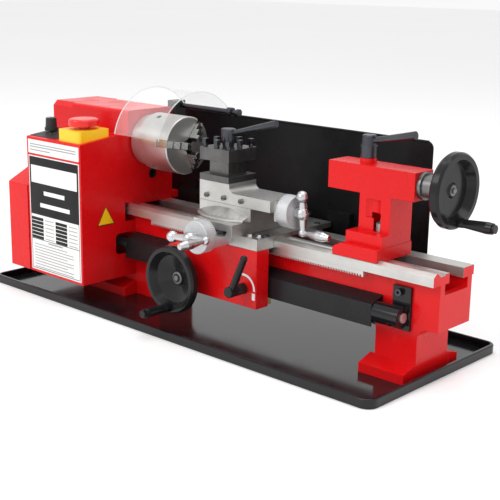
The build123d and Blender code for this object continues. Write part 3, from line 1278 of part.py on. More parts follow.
# ---------------------------------------------------------------- compound
def make_compound():
    x, y = PIVOT
    with BuildPart() as swivel:
        # the sloped degree scale: part of a disc about the pivot, under the front of the slide
        spun(
            [
                (0, SWIVEL_Z[0]),
                (SCALE_R, SWIVEL_Z[0]),
                (SCALE_R, SWIVEL_Z[0] + 2),
                (SCALE_R - 21, SWIVEL_Z[1] - 4),
                (0, SWIVEL_Z[1] - 4),
            ],
            (x, y, 0),
            (0, 0, 1),
        )
        far = 2 * SCALE_R
        high = (SWIVEL_Z[0] - 1, SWIVEL_Z[1] + 1)
        block((-far, SWIVEL_X[0] + 3), (-far, far), high, Mode.SUBTRACT)
        block((SWIVEL_X[1] - 4, far), (-far, far), high, Mode.SUBTRACT)
        block((-far, far), (TOP_Y[1], far), high, Mode.SUBTRACT)
        block(SWIVEL_X, TOP_Y, SWIVEL_Z)
        along_x(dovetail(TOP_MID_Y, TOP_DOVETAIL, SWIVEL_Z[1], TOP_DOVE_H, 0), SWIVEL_X)
        channel = (TOP_MID_Y - CROSS_CHANNEL, TOP_MID_Y + CROSS_CHANNEL)
        channel_z = (TOP_SCREW_Z - FEED_SCREW_R - 1, SWIVEL_Z[1] + TOP_DOVE_H)
        block((-far, far), channel, (channel_z[0], channel_z[1] + 1), Mode.SUBTRACT)
        block(TOP_NUT_X, channel, channel_z)
        rod((-far, TOP_MID_Y, TOP_SCREW_Z), (1, 0, 0), 2 * far, FEED_SCREW_R + RUN, Mode.SUBTRACT)
    save(swivel, "compound_swivel")

    plate_x = (TOP_X[1], TOP_X[1] + 4)
    with BuildPart() as top:
        block(TOP_X, TOP_Y, (SWIVEL_Z[1] + GAP, TOP_LOW_Z))
        block((TOP_X[0], TOP_STEP_X), TOP_Y, (TOP_LOW_Z - 1, TOP_HIGH_Z))
        # the hollow at the foot of the step
        hollow_x, hollow_z = TOP_STEP_X + TOP_STEP_R, TOP_LOW_Z + TOP_STEP_R
        block((TOP_STEP_X - 1, hollow_x), TOP_Y, (TOP_LOW_Z - 1, hollow_z))
        across = TOP_Y[1] - TOP_Y[0] + 2
        rod((hollow_x, TOP_Y[0] - 1, hollow_z), (0, 1, 0), across, TOP_STEP_R, Mode.SUBTRACT)
        groove = dovetail(TOP_MID_Y, TOP_DOVETAIL, SWIVEL_Z[1], TOP_DOVE_H, GAP)
        along_x(groove, (TOP_X[0] - 1, TOP_X[1] + 1), Mode.SUBTRACT)
        # end plate that holds the screw, and the tool post's stud
        block(plate_x, (TOP_Y[0] + 8, TOP_Y[1] - 8), (TOP_SCREW_Z - 12, TOP_LOW_Z - 1))
        rod((plate_x[0] - 1, TOP_MID_Y, TOP_SCREW_Z), (1, 0, 0), 8, FEED_SCREW_R + RUN, Mode.SUBTRACT)
        rod((*POST_XY, TOP_LOW_Z), (0, 0, 1), post_top() + 10 - TOP_LOW_Z, POST_STUD_R)
    save(top, "top_slide")

    with BuildPart() as screw:
        left = SWIVEL_X[0] + 12
        rod((TOP_DIAL_X[0], TOP_MID_Y, TOP_SCREW_Z), (1, 0, 0), TOP_DIAL_X[1] - TOP_DIAL_X[0], TOP_DIAL_R)
        chamfer(screw.edges().filter_by(GeomType.CIRCLE), 0.8)
        rod((left, TOP_MID_Y, TOP_SCREW_Z), (1, 0, 0), TOP_DIAL_X[0] + 2 - left, FEED_SCREW_R)
        rod((TOP_DIAL_X[1] - 2, TOP_MID_Y, TOP_SCREW_Z), (1, 0, 0), 10, CRANK_BORE_R)
    save(screw, "compound_screw")

    hub = (TOP_DIAL_X[1], TOP_MID_Y, TOP_SCREW_Z)
    lean = math.radians(4)
    crank("compound_crank", hub, (1, 0, 0), (0, -math.sin(lean), math.cos(lean)), 21, 24, 42)


def post_top():
    """Height of the tool post's top face."""
    return TOP_HIGH_Z + GAP + POST_BASE + POST_SLOT + POST_HEAD


def make_tool_post():
    x, y = POST_XY
    top_z = post_top()
    head_z = top_z - POST_HEAD
    slot_z = head_z - POST_SLOT
    half, neck, reach = POST_W / 2, POST_NECK / 2, POST_SCREW_AT
    screws_at = [(i * reach, j * reach) for i in (-1, 0, 1) for j in (-1, 0, 1) if i or j]
    with BuildPart() as post:
        block((x - half, x + half), (y - half, y + half), (TOP_HIGH_Z + GAP, slot_z))
        block((x - neck, x + neck), (y - neck, y + neck), (slot_z, head_z))
        block((x - half, x + half), (y - half, y + half), (head_z, top_z))
        rod((x, y, TOP_HIGH_Z), (0, 0, 1), 60, POST_STUD_R + RUN, Mode.SUBTRACT)
        for dx, dy in screws_at:
            rod((x + dx, y + dy, head_z - 1), (0, 0, 1), POST_HEAD + 2, POST_SCREW_R + SEAT, Mode.SUBTRACT)
    save(post, "tool_post")
    with BuildPart() as screws:
        for dx, dy in screws_at:
            rod((x + dx, y + dy, head_z - 1), (0, 0, 1), POST_HEAD + 6, POST_SCREW_R)
            block((x + dx - 3, x + dx + 3), (y + dy - 3, y + dy + 3), (top_z + 4, top_z + 10.5))
    save(screws, "tool_post_screws")
    lean = math.radians(15)
    with BuildPart() as lever:
        taper((x, y, top_z + GAP), (0, 0, 1), 8, 7.0, 9.5)
        rod((x, y, top_z + 8), (0, 0, 1), 15, 9.5)
        chamfer(lever.faces().sort_by(Axis.Z)[-1].edges(), 1)
        taper((x + 5, y, top_z + 17), (math.cos(lean), 0, math.sin(lean)), 78, 3.2, 4.6)
        rod((x, y, top_z), (0, 0, 1), 12, POST_STUD_R + RUN, Mode.SUBTRACT)
    save(lever, "tool_post_lever")


# ---------------------------------------------------------------- tailstock
def make_tailstock():
    with BuildPart() as base:
        along_y(
            [
                (TAIL_BASE_X[0], WAY_TOP - 2),
                (TAIL_BASE_X[0], 141.0),
                (TAIL_BASE_X[0] + 2.5, 144.5),
                (TIER_X - 4, 147.0),
                (TIER_X, TIER_Z[0]),
                (TAIL_BASE_X[1], TIER_Z[0]),
                (TAIL_BASE_X[1], WAY_TOP - 2),
            ],
            TAIL_BASE_Y,
        )
        along_x(way_outline(GAP), (TAIL_BASE_X[0] - 1, TAIL_BASE_X[1] + 1), Mode.SUBTRACT)
        rod((*CLAMP_XY, WAY_TOP - 3), (0, 0, 1), 20, CLAMP_STUD_R + SEAT, Mode.SUBTRACT)
    save(base, "tailstock_base")

    with BuildPart() as body:
        block((TIER_X, COLUMN_X[1]), (TIER_Y, COLUMN_Y[1]), TIER_Z)
        block(COLUMN_X, COLUMN_Y, (TIER_Z[1] - 1, BARREL_Z[0] + 1))
        block(BARREL_X, (-BARREL_HALF, BARREL_HALF), BARREL_Z)
        rod((LOCK_XY[0], LOCK_XY[1], BARREL_Z[1] - 1), (0, 0, 1), 7, 10)
        # shallow groove down the column's face, and the clamp nut's recess below it
        rod((COLUMN_X[0] + 20, COLUMN_Y[0] - 12, 180), (0, 0, 1), 22, 16, Mode.SUBTRACT)
        rod((*CLAMP_XY, TIER_Z[1] + 1), (0, 0, 1), 22, 13.5, Mode.SUBTRACT)
        rod((BARREL_X[0] - 1, 0, SPINDLE_Z), (1, 0, 0), 200, QUILL_R + RUN, Mode.SUBTRACT)
        rod((LOCK_XY[0], LOCK_XY[1], BARREL_Z[1] - 4), (0, 0, 1), 12, 5 + RUN, Mode.SUBTRACT)
        rod((*CLAMP_XY, TIER_Z[0] - 1), (0, 0, 1), 20, CLAMP_STUD_R + SEAT, Mode.SUBTRACT)
    save(body, "tailstock_body")

    with BuildPart() as clamp:
        rod((*CLAMP_XY, CLAMP_Z[0]), (0, 0, 1), TIER_Z[1] + 14 - CLAMP_Z[0], CLAMP_STUD_R)
        with BuildSketch(Plane.XY.offset(TIER_Z[1] + 1)) as hexagon:
            with Locations(CLAMP_XY):
                RegularPolygon(9.0, 6)
        extrude(hexagon.sketch, amount=9)
        block((CLAMP_XY[0] - 22, CLAMP_XY[0] + 22), (FRONT_WAY_IN - 6, BACK_WAY_IN + 6), CLAMP_Z)
    save(clamp, "tailstock_clamp")

    with BuildPart() as quill:
        rod((BARREL_X[0] + 2, 0, SPINDLE_Z), (1, 0, 0), QUILL_LEN, QUILL_R)
        taper((BARREL_X[0] + 1.9, 0, SPINDLE_Z), (1, 0, 0), TAPER_LEN, *TAPER_R, Mode.SUBTRACT)
        rod((BARREL_X[0] + 2, 0, SPINDLE_Z), (1, 0, 0), QUILL_LEN + 1, QUILL_SCREW_R + RUN, Mode.SUBTRACT)
        block(
            (BARREL_X[0] + 8, BARREL_X[0] + QUILL_LEN - 4),
            (-2, 2),
            (SPINDLE_Z - QUILL_R - 1, SPINDLE_Z - QUILL_R + 2),
            Mode.SUBTRACT,
        )
    save(quill, "quill")

    with BuildPart() as cap:
        rod((BARREL_X[1] - 8, 0, SPINDLE_Z), (1, 0, 0), 9, QUILL_R)
        rod((BARREL_X[1], 0, SPINDLE_Z), (1, 0, 0), 5, 16)
        rod((BARREL_X[1], 0, SPINDLE_Z), (1, 0, 0), TAIL_CAP, 13.5)
        rod((BARREL_X[1] - 9, 0, SPINDLE_Z), (1, 0, 0), 60, QUILL_SCREW_R + RUN, Mode.SUBTRACT)
    save(cap, "tailstock_cap")

    radius = TAIL_WHEEL_R
    x0, x1 = TAIL_WHEEL_X
    with BuildPart() as wheel:
        spun(
            [
                (0, x0 + 5),
                (7, x0 + 5),
                (9, x0 + 3),
                (radius - 13, x0 + 3),
                (radius - 8, x1),
                (radius - 2, x1),
                (radius, x1 - 3),
                (radius, x0 + 3),
                (radius - 2, x0),
                (radius - 9, x0),
                (radius - 14, x0 - 2),
                (13, x0 - 3),
                (11, BARREL_X[1] + TAIL_CAP + GAP),
                (0, BARREL_X[1] + TAIL_CAP + GAP),
            ],
            (0, 0, SPINDLE_Z),
            (1, 0, 0),
        )
        # the quill's screw, and the pin the grip turns on
        rod((TAIL_SCREW_X, 0, SPINDLE_Z), (1, 0, 0), x0 + 4 - TAIL_SCREW_X, QUILL_SCREW_R)
        rod((x1 - 6, TAIL_HANDLE_Y, TAIL_HANDLE_Z), (1, 0, 0), 50, 3)
        rod((x1 + 43.4, TAIL_HANDLE_Y, TAIL_HANDLE_Z), (1, 0, 0), 3, 5)
    save(wheel, "tailstock_wheel")
    with BuildPart() as grip:
        spun(
            [
                (3 + RUN, x1 + GAP),
                (5.6, x1 + GAP),
                (5.6, x1 + 4),
                (5.0, x1 + 8),
                (7.0, x1 + 36),
                (6.4, x1 + 43),
                (3 + RUN, x1 + 43),
            ],
            (0, TAIL_HANDLE_Y, TAIL_HANDLE_Z),
            (1, 0, 0),
        )
    save(grip, "tailstock_grip")

    lean = math.radians(12)
    with BuildPart() as lock:
        low = BARREL_Z[1] + 6 + GAP
        rod((*LOCK_XY, low), (0, 0, 1), 14, 9.8)
        taper((*LOCK_XY, low + 14), (0, 0, 1), 13, 9.2, 8.0)
        chamfer(lock.faces().sort_by(Axis.Z)[-1].edges(), 1)
        taper(
            (LOCK_XY[0] + 4, LOCK_XY[1], low + 20),
            (math.cos(lean), 0, math.sin(lean)),
            62,
            3.6,
            5.0,
        )
        rod((*LOCK_XY, SPINDLE_Z + QUILL_R + LOCK_CLEAR), (0, 0, 1), 12, 5)
    save(lock, "quill_lock")




os.makedirs("parts", exist_ok=True)
make_tray()
make_bed()
make_headstock()
make_gear_cover()
make_cap_screws()
make_control_box()
make_controls()
make_drive()
make_chuck()
make_guards()
make_rack()
make_leadscrew_supports()
make_saddle()
make_apron()
make_cross_slide()
make_cross_feed()
make_compound()
make_tool_post()
make_tailstock()
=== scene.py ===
import math

import bmesh
import bpy
from mathutils import Matrix, Vector


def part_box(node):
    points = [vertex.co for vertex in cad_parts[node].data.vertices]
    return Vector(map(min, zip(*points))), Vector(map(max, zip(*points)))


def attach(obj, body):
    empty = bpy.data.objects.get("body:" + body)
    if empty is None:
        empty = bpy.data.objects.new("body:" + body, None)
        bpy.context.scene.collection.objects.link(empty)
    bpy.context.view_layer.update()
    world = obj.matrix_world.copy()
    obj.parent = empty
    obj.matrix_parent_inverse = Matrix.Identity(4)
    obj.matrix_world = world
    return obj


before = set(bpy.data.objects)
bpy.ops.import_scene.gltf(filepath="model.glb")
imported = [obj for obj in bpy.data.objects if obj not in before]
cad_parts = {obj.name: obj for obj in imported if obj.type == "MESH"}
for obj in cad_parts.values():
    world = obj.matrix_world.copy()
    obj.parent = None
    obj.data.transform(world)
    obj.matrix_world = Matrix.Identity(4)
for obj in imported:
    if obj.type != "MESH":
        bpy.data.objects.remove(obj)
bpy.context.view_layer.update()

MM = 0.001
SPINDLE_Z = 0.224
WAYS_FOOT_Z = 0.1212  # the bed is painted below this height and ground bare above it
# rounding of the edges, in metres
ENAMEL_EDGE = 0.0008
STEEL_EDGE = 0.0005
PLASTIC_EDGE = 0.0006

# places of the trim, in millimetres
KNOB_AT = (-314, -90)
SADDLE_TOP = 139.0
WHEEL_AT = (-54, 68.4)  # x and z of the carriage handwheel
LEVER_AT = (49.5, 73.3)  # x and z of the half-nut lever
CROSS_DIAL_AT = (11, -103.8, 139.6)
CROSS_DIAL_R = 21.0
COMPOUND_DIAL_AT = (84.5, -37, 173)
COMPOUND_DIAL_R = 20.5
DIAL_MARK = 5.5
GIB_Z = 179.5
GIB_FACE_Y = -62.0

# camera
CAMERA_AT = (908.7055, -999.529, 450.6003)
CAMERA_ANGLES = (42.538, 14.550, 0.986)  # azimuth, elevation and roll in degrees
CAMERA_LENS = 75.92


# ---------------------------------------------------------------- materials
class Shader:
    """A small helper around a material's node tree."""

    def __init__(self, name):
        self.mat = bpy.data.materials.new(name)
        self.mat.use_nodes = True
        self.tree = self.mat.node_tree
        self.bsdf = self.tree.nodes["Principled BSDF"]
        self.coord = self.node("ShaderNodeTexCoord").outputs["Object"]
        self.normal_in = None

    def node(self, kind, **props):
        made = self.tree.nodes.new(kind)
        for key, value in props.items():
            setattr(made, key, value)
        return made

    def link(self, a, b):
        self.tree.links.new(a, b)

    def put(self, **values):
        for key, value in values.items():
            self.bsdf.inputs[key.replace("_", " ")].default_value = value

    def mapped(self, scale, source=None):
        made = self.node("ShaderNodeMapping")
        made.inputs["Scale"].default_value = scale
        self.link(source or self.coord, made.inputs["Vector"])
        return made.outputs["Vector"]

    def noise(self, scale, detail=3.0, rough=0.5, vector=None):
        made = self.node("ShaderNodeTexNoise")
        made.inputs["Scale"].default_value = scale
        made.inputs["Detail"].default_value = detail
        made.inputs["Roughness"].default_value = rough
        self.link(vector or self.coord, made.inputs["Vector"])
        return made.outputs["Fac"]

    def remap(self, source, low, high, from_low=0.3, from_high=0.7):
        made = self.node("ShaderNodeMapRange")
        made.inputs["From Min"].default_value = from_low
        made.inputs["From Max"].default_value = from_high
        made.inputs["To Min"].default_value = low
        made.inputs["To Max"].default_value = high
        self.link(source, made.inputs["Value"])
        return made.outputs["Result"]

    def math(self, kind, a, b=None):
        made = self.node("ShaderNodeMath", operation=kind)
        for socket, value in zip(made.inputs, (a, b)):
            if value is None:
                continue
            if isinstance(value, (int, float)):
                socket.default_value = value
            else:
                self.link(value, socket)
        return made.outputs[0]

    def mix(self, fac, a, b):
        made = self.node("ShaderNodeMix", data_type="RGBA")
        for socket, value in ((made.inputs[0], fac), (made.inputs[6], a), (made.inputs[7], b)):
            if isinstance(value, (int, float)):
                socket.default_value = value
            elif isinstance(value, tuple):
                socket.default_value = value if len(value) == 4 else (*value, 1)
            else:
                self.link(value, socket)
        return made.outputs[2]

    def bump(self, height, strength, distance=0.001):
        made = self.node("ShaderNodeBump")
        made.inputs["Strength"].default_value = strength
        made.inputs["Distance"].default_value = distance
        self.link(height, made.inputs["Height"])
        if self.normal_in is not None:
            self.link(self.normal_in, made.inputs["Normal"])
        self.normal_in = made.outputs["Normal"]
        self.link(self.normal_in, self.bsdf.inputs["Normal"])

    def soft_edges(self, radius):
        """Rounded-looking edges, without changing the mesh."""
        made = self.node("ShaderNodeBevel", samples=4)
        made.inputs["Radius"].default_value = radius
        self.normal_in = made.outputs["Normal"]
        self.link(self.normal_in, self.bsdf.inputs["Normal"])

    def axis(self):
        made = self.node("ShaderNodeSeparateXYZ")
        self.link(self.coord, made.inputs[0])
        return made.outputs


def enamel(name, colour, shade, rough=0.26, coat=0.10, peel=0.05, sheen=0.18):
    """Sprayed gloss paint: slight colour drift, orange peel, and a clear coat."""
    s = Shader(name)
    s.soft_edges(ENAMEL_EDGE)
    drift = s.noise(9.0, 4.0)
    speck = s.noise(160.0, 2.0)
    base = s.mix(s.remap(drift, 0.0, 1.0), colour, shade)
    s.link(s.mix(s.remap(speck, 0.0, 0.10, 0.55, 0.75), base, shade), s.bsdf.inputs["Base Color"])
    s.link(s.remap(s.noise(34.0, 5.0), rough * 0.75, rough * 1.35), s.bsdf.inputs["Roughness"])
    s.bump(s.noise(420.0, 2.0), peel)
    s.put(Coat_Weight=coat, Coat_Roughness=0.08, IOR=1.5, Specular_IOR_Level=sheen)
    return s


def steel(name, colour, shade, rough=0.3, grain=(30.0, 900.0, 900.0), mark=0.06, metal=1.0):
    """Machined steel with fine marks running one way, faint stains and rounded-looking edges."""
    s = Shader(name)
    s.soft_edges(STEEL_EDGE)
    lines = s.noise(1.0, 3.0, 0.6, s.mapped(grain))
    stain = s.noise(22.0, 5.0, 0.6)
    base = s.mix(s.remap(stain, 0.0, 1.0), colour, shade)
    s.link(s.mix(s.remap(lines, 0.0, 0.35), base, shade), s.bsdf.inputs["Base Color"])
    s.link(s.remap(lines, rough * 0.8, rough * 1.3), s.bsdf.inputs["Roughness"])
    s.bump(lines, mark, 0.0004)
    s.put(Metallic=metal)
    return s


def turned(name, colour, shade, centre, along, rough=0.36, rings=1500.0):
    """Steel turned on a lathe: fine rings about an axis through centre."""
    s = Shader(name)
    s.soft_edges(STEEL_EDGE)
    x, y, z = s.axis()
    sides = [(c, at) for c, at, use in zip((x, y, z), centre, along) if not use]
    length = [c for c, use in zip((x, y, z), along) if use][0]
    offsets = [s.math("SUBTRACT", c, at) for c, at in sides]
    squares = [s.math("MULTIPLY", c, c) for c in offsets]
    radius = s.math("SQRT", s.math("ADD", *squares))
    joined = s.node("ShaderNodeCombineXYZ")
    s.link(radius, joined.inputs[0])
    s.link(length, joined.inputs[1])
    lines = s.noise(rings, 2.0, 0.6, joined.outputs[0])
    stain = s.noise(30.0, 4.0)
    s.link(
        s.mix(s.remap(lines, 0.0, 0.6), s.mix(s.remap(stain, 0, 1), colour, shade), shade),
        s.bsdf.inputs["Base Color"],
    )
    s.link(s.remap(lines, rough * 0.75, rough * 1.35), s.bsdf.inputs["Roughness"])
    s.bump(lines, 0.03, 0.0003)
    s.put(Metallic=1.0, Anisotropic=0.4)
    return s


def plastic(name, colour, shade, rough=0.3, grain=0.08, coat=0.1, sheen=0.3):
    s = Shader(name)
    s.soft_edges(PLASTIC_EDGE)
    s.link(s.mix(s.remap(s.noise(14.0, 4.0), 0, 1), colour, shade), s.bsdf.inputs["Base Color"])
    s.link(s.remap(s.noise(60.0, 4.0), rough * 0.8, rough * 1.3), s.bsdf.inputs["Roughness"])
    s.bump(s.noise(900.0, 2.0), grain, 0.0004)
    s.put(Coat_Weight=coat, Coat_Roughness=0.15, Specular_IOR_Level=sheen)
    return s


RED, RED_SHADE = (0.70, 0.006, 0.008), (0.60, 0.004, 0.006)
red = enamel("red_enamel", RED, RED_SHADE)
black = enamel(
    "black_enamel", (0.006, 0.006, 0.007), (0.010, 0.010, 0.012), 0.12, 0.20, 0.02, sheen=0.25
)
panel_black = enamel(
    "panel_enamel", (0.008, 0.008, 0.009), (0.012, 0.012, 0.013), 0.30, 0.02, 0.04, sheen=0.10
)
hood = enamel(
    "hood_enamel", (0.010, 0.010, 0.011), (0.016, 0.016, 0.018), 0.32, 0.03, 0.08, sheen=0.2
)
gloss = plastic("gloss_black", (0.010, 0.010, 0.011), (0.014, 0.014, 0.015), 0.18, 0.03, 0.10, 0.2)
matt = plastic("matt_black", (0.014, 0.014, 0.015), (0.024, 0.024, 0.025), 0.5, 0.2)
rubber = plastic("belt_rubber", (0.012, 0.012, 0.012), (0.022, 0.022, 0.022), 0.7, 0.3, 0.0)
yellow = plastic("yellow_plastic", (0.95, 0.58, 0.010), (0.85, 0.48, 0.008), 0.3, 0.06, 0.3)
red_plastic = plastic("red_plastic", (0.80, 0.015, 0.010), (0.68, 0.010, 0.008), 0.25, 0.05, 0.4)
blued = steel("blued_steel", (0.10, 0.105, 0.12), (0.06, 0.062, 0.07), 0.32, (60, 60, 60), 0.05)
oxide = steel("black_oxide", (0.17, 0.17, 0.165), (0.09, 0.09, 0.088), 0.34, (500, 500, 40), 0.10)
ground = steel("ground_steel", (0.66, 0.655, 0.63), (0.54, 0.535, 0.515), 0.42, mark=0.04)
slide = steel("slide_steel", (0.60, 0.595, 0.575), (0.44, 0.435, 0.42), 0.38, (700, 60, 700), 0.05)
dark = steel("dark_steel", (0.26, 0.26, 0.26), (0.14, 0.14, 0.14), 0.38, (80, 80, 80))
chrome = steel("cast_chrome", (0.66, 0.66, 0.67), (0.52, 0.52, 0.53), 0.27, (90, 90, 90), 0.04)
alloy = steel("alloy", (0.62, 0.625, 0.635), (0.48, 0.485, 0.50), 0.44, (500, 500, 500), 0.05, 0.6)
brass = steel("brass", (0.70, 0.52, 0.22), (0.52, 0.36, 0.14), 0.28)
chuck = turned(
    "chuck_steel", (0.72, 0.715, 0.69), (0.52, 0.515, 0.50), (0, 0, SPINDLE_Z), (1, 0, 0)
)
jaw = steel("jaw_steel", (0.62, 0.62, 0.60), (0.36, 0.36, 0.35), 0.24, (300, 300, 300), 0.08)
white_print = plastic("white_print", (0.80, 0.80, 0.79), (0.74, 0.74, 0.73), 0.42, 0.02, 0.2)
black_print = plastic(
    "black_print", (0.012, 0.012, 0.013), (0.020, 0.020, 0.021), 0.38, 0.02, 0.0, 0.12
)
grey_print = plastic("grey_print", (0.30, 0.30, 0.30), (0.36, 0.36, 0.36), 0.45, 0.02, 0.1)
red_print = plastic("red_print", (0.60, 0.01, 0.012), (0.55, 0.01, 0.012), 0.4, 0.02, 0.1)


def bed_paint():
    """Red casting whose ways, above the web, are ground bare."""
    s = Shader("bed_casting")
    s.soft_edges(PLASTIC_EDGE)
    x, y, z = s.axis()
    facing = s.node("ShaderNodeSeparateXYZ")
    s.link(s.node("ShaderNodeTexCoord").outputs["Normal"], facing.inputs[0])
    end_on = s.math("GREATER_THAN", s.math("ABSOLUTE", facing.outputs[0]), 0.7)
    high = s.math("GREATER_THAN", z, WAYS_FOOT_Z)
    steel_here = s.math("MULTIPLY", high, s.math("SUBTRACT", 1.0, end_on))
    lines = s.noise(1.0, 3.0, 0.6, s.mapped((30.0, 900.0, 900.0)))
    stain = s.noise(22.0, 5.0, 0.6)
    bright, dull = (0.66, 0.655, 0.63), (0.54, 0.535, 0.515)
    metal = s.mix(s.remap(lines, 0, 0.35), s.mix(s.remap(stain, 0, 1), bright, dull), dull)
    paint = s.mix(s.remap(s.noise(9.0, 4.0), 0, 1), RED, RED_SHADE)
    s.link(s.mix(steel_here, paint, metal), s.bsdf.inputs["Base Color"])
    s.link(steel_here, s.bsdf.inputs["Metallic"])
    paint_here = s.math("SUBTRACT", 1.0, steel_here)
    steel_rough = s.math("MULTIPLY", steel_here, s.remap(lines, 0.34, 0.50))
    paint_rough = s.math("MULTIPLY", paint_here, s.remap(s.noise(34.0, 5.0), 0.17, 0.30))
    s.link(s.math("ADD", steel_rough, paint_rough), s.bsdf.inputs["Roughness"])
    s.link(s.math("MULTIPLY", paint_here, 0.10), s.bsdf.inputs["Coat Weight"])
    s.bump(s.mix(steel_here, s.noise(420.0, 2.0), lines), 0.05)
    s.put(Specular_IOR_Level=0.18)
    return s


def clear_sheet():
    """Clear moulded sheet whose cut edges look white."""
    s = Shader("clear_sheet")
    facing = s.node("ShaderNodeSeparateXYZ")
    s.link(s.node("ShaderNodeTexCoord").outputs["Normal"], facing.inputs[0])
    edge = s.math("GREATER_THAN", s.math("ABSOLUTE", facing.outputs[0]), 0.7)
    haze = s.remap(s.noise(30.0, 4.0), 0.0, 1.0)
    s.link(s.mix(haze, (0.93, 0.95, 0.96), (0.88, 0.90, 0.92)), s.bsdf.inputs["Base Color"])
    s.link(s.remap(s.noise(120.0, 3.0), 0.04, 0.09), s.bsdf.inputs["Roughness"])
    clear = s.math("ADD", s.math("MULTIPLY", edge, 0.75), s.remap(s.noise(18.0, 3.0), 0.07, 0.11))
    s.link(clear, s.bsdf.inputs["Alpha"])
    s.bump(s.noise(12.0, 2.0), 0.02)
    s.put(IOR=1.49, Coat_Weight=0.5, Coat_Roughness=0.03)
    return s


bed_look = bed_paint()
clear = clear_sheet()

LOOKS = {
    bed_look: ["bed"],
    red: ["headstock", "gear_cover", "control_box", "tailstock_base", "tailstock_body", "apron"],
    black: ["chip_tray", "leadscrew_brackets"],
    panel_black: ["splash_guard", "motor"],
    hood: ["leadscrew_hood"],
    gloss: [
        "carriage_wheel",
        "carriage_grip",
        "tailstock_wheel",
        "tailstock_grip",
        "half_nut_lever",
    ],
    matt: ["speed_knob", "guard_bracket"],
    rubber: ["drive_belt"],
    yellow: ["switch_base"],
    red_plastic: ["stop_button"],
    blued: ["tool_post_lever", "quill_lock", "guard_rod", "cap_screws", "tool_post_screws"],
    oxide: ["tool_post"],
    slide: ["saddle", "cross_slide", "compound_swivel", "top_slide"],
    dark: [
        "saddle_gib",
        "change_gear_plate",
        "rack_pinion_shaft",
        "apron_idler_gear",
        "spindle_gear",
        "tumbler_gear",
        "stud_gears",
        "chuck_scroll",
        "tailstock_cap",
    ],
    ground: ["spindle", "spindle_bearings", "leadscrew", "quill", "rack"],
    chrome: ["cross_feed_crank", "compound_crank"],
    alloy: [
        "cross_feed_screw",
        "compound_screw",
        "spindle_pulley",
        "motor_pulley",
        "cross_feed_bracket",
        "tailstock_clamp",
    ],
    brass: ["half_nut"],
    chuck: ["chuck_body"],
    jaw: ["chuck_jaw_1", "chuck_jaw_2", "chuck_jaw_3"],
    clear: ["chuck_guard"],
}
for look, names in LOOKS.items():
    for name in names:
        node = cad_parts[name]
        for k in range(len(node.data.materials)):
            node.data.materials[k] = look.mat


# ---------------------------------------------------------------- added pieces
def finish_mesh(name, bm, look, body, smooth=False):
    mesh = bpy.data.meshes.new(name)
    bmesh.ops.recalc_face_normals(bm, faces=bm.faces)
    bm.to_mesh(mesh)
    bm.free()
    if smooth:
        mesh.shade_smooth()
        mesh.set_sharp_from_angle(angle=math.radians(38))
    obj = bpy.data.objects.new(name, mesh)
    bpy.context.scene.collection.objects.link(obj)
    mesh.materials.append(look.mat)
    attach(obj, body)
    return obj


def add_slab(bm, x, y, z):
    """A slab between pairs of coordinates in millimetres."""
    low = Vector((x[0], y[0], z[0])) * MM
    high = Vector((x[1], y[1], z[1])) * MM
    made = bmesh.ops.create_cube(bm, size=1.0)
    place = Matrix.Translation((low + high) / 2) @ Matrix.Diagonal((*(high - low), 1))
    bmesh.ops.transform(bm, matrix=place, verts=made["verts"])
    return made["verts"]


def frame_of(start, along):
    """A matrix whose Z axis runs along a direction from a start point in millimetres."""
    turn = Vector(along).normalized().to_track_quat("Z", "Y").to_matrix().to_4x4()
    return Matrix.Translation(Vector(start) * MM) @ turn


def add_lathe(bm, profile, start, along, segments=48):
    """Revolves (radius, height) points in millimetres about a line."""
    place = frame_of(start, along)
    rings = []
    for radius, height in profile:
        if radius < 1e-6:
            rings.append([bm.verts.new(place @ Vector((0, 0, height * MM)))])
            continue
        rings.append(
            [
                bm.verts.new(
                    place
                    @ Vector(
                        (
                            radius * MM * math.cos(2 * math.pi * k / segments),
                            radius * MM * math.sin(2 * math.pi * k / segments),
                            height * MM,
                        )
                    )
                )
                for k in range(segments)
            ]
        )
    for low, high in zip(rings, rings[1:]):
        for k in range(segments):
            a, b = low[k % len(low)], low[(k + 1) % len(low)]
            c, d = high[(k + 1) % len(high)], high[k % len(high)]
            corners = [v for i, v in enumerate((a, b, c, d)) if v not in (a, b, c, d)[:i]]
            if len(corners) > 2:
                bm.faces.new(corners)


def add_hex(bm, start, along, across, height, turn=0.0):
    """A hexagon nut or head, chamfered on its outer face."""
    place = frame_of(start, along) @ Matrix.Rotation(turn, 4, "Z")
    rings = []
    for radius, level in ((across, 0.0), (across, height * 0.85), (across * 0.9, height)):
        rings.append(
            [
                bm.verts.new(
                    place
                    @ Vector(
                        (
                            radius * MM * math.cos(math.pi * k / 3),
                            radius * MM * math.sin(math.pi * k / 3),
                            level * MM,
                        )
                    )
                )
                for k in range(6)
            ]
        )
    for low, high in zip(rings, rings[1:]):
        for k in range(6):
            bm.faces.new((low[k], low[(k + 1) % 6], high[(k + 1) % 6], high[k]))
    bm.faces.new(rings[-1])
    bm.faces.new(list(reversed(rings[0])))


# -- front plate of the control box: plain blocks and bars, no lettering
box_low, box_high = (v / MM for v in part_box("control_box"))
PLATE_X = (box_low.x + 3.5, box_high.x - 3.5)
FRONT = box_low.y


def plate_slab(name, look, rects, depth):
    bm = bmesh.new()
    for x0, x1, z0, z1 in rects:
        add_slab(bm, (x0, x1), (FRONT - depth, FRONT + 0.2), (z0, z1))
    return finish_mesh(name, bm, look, "machine")


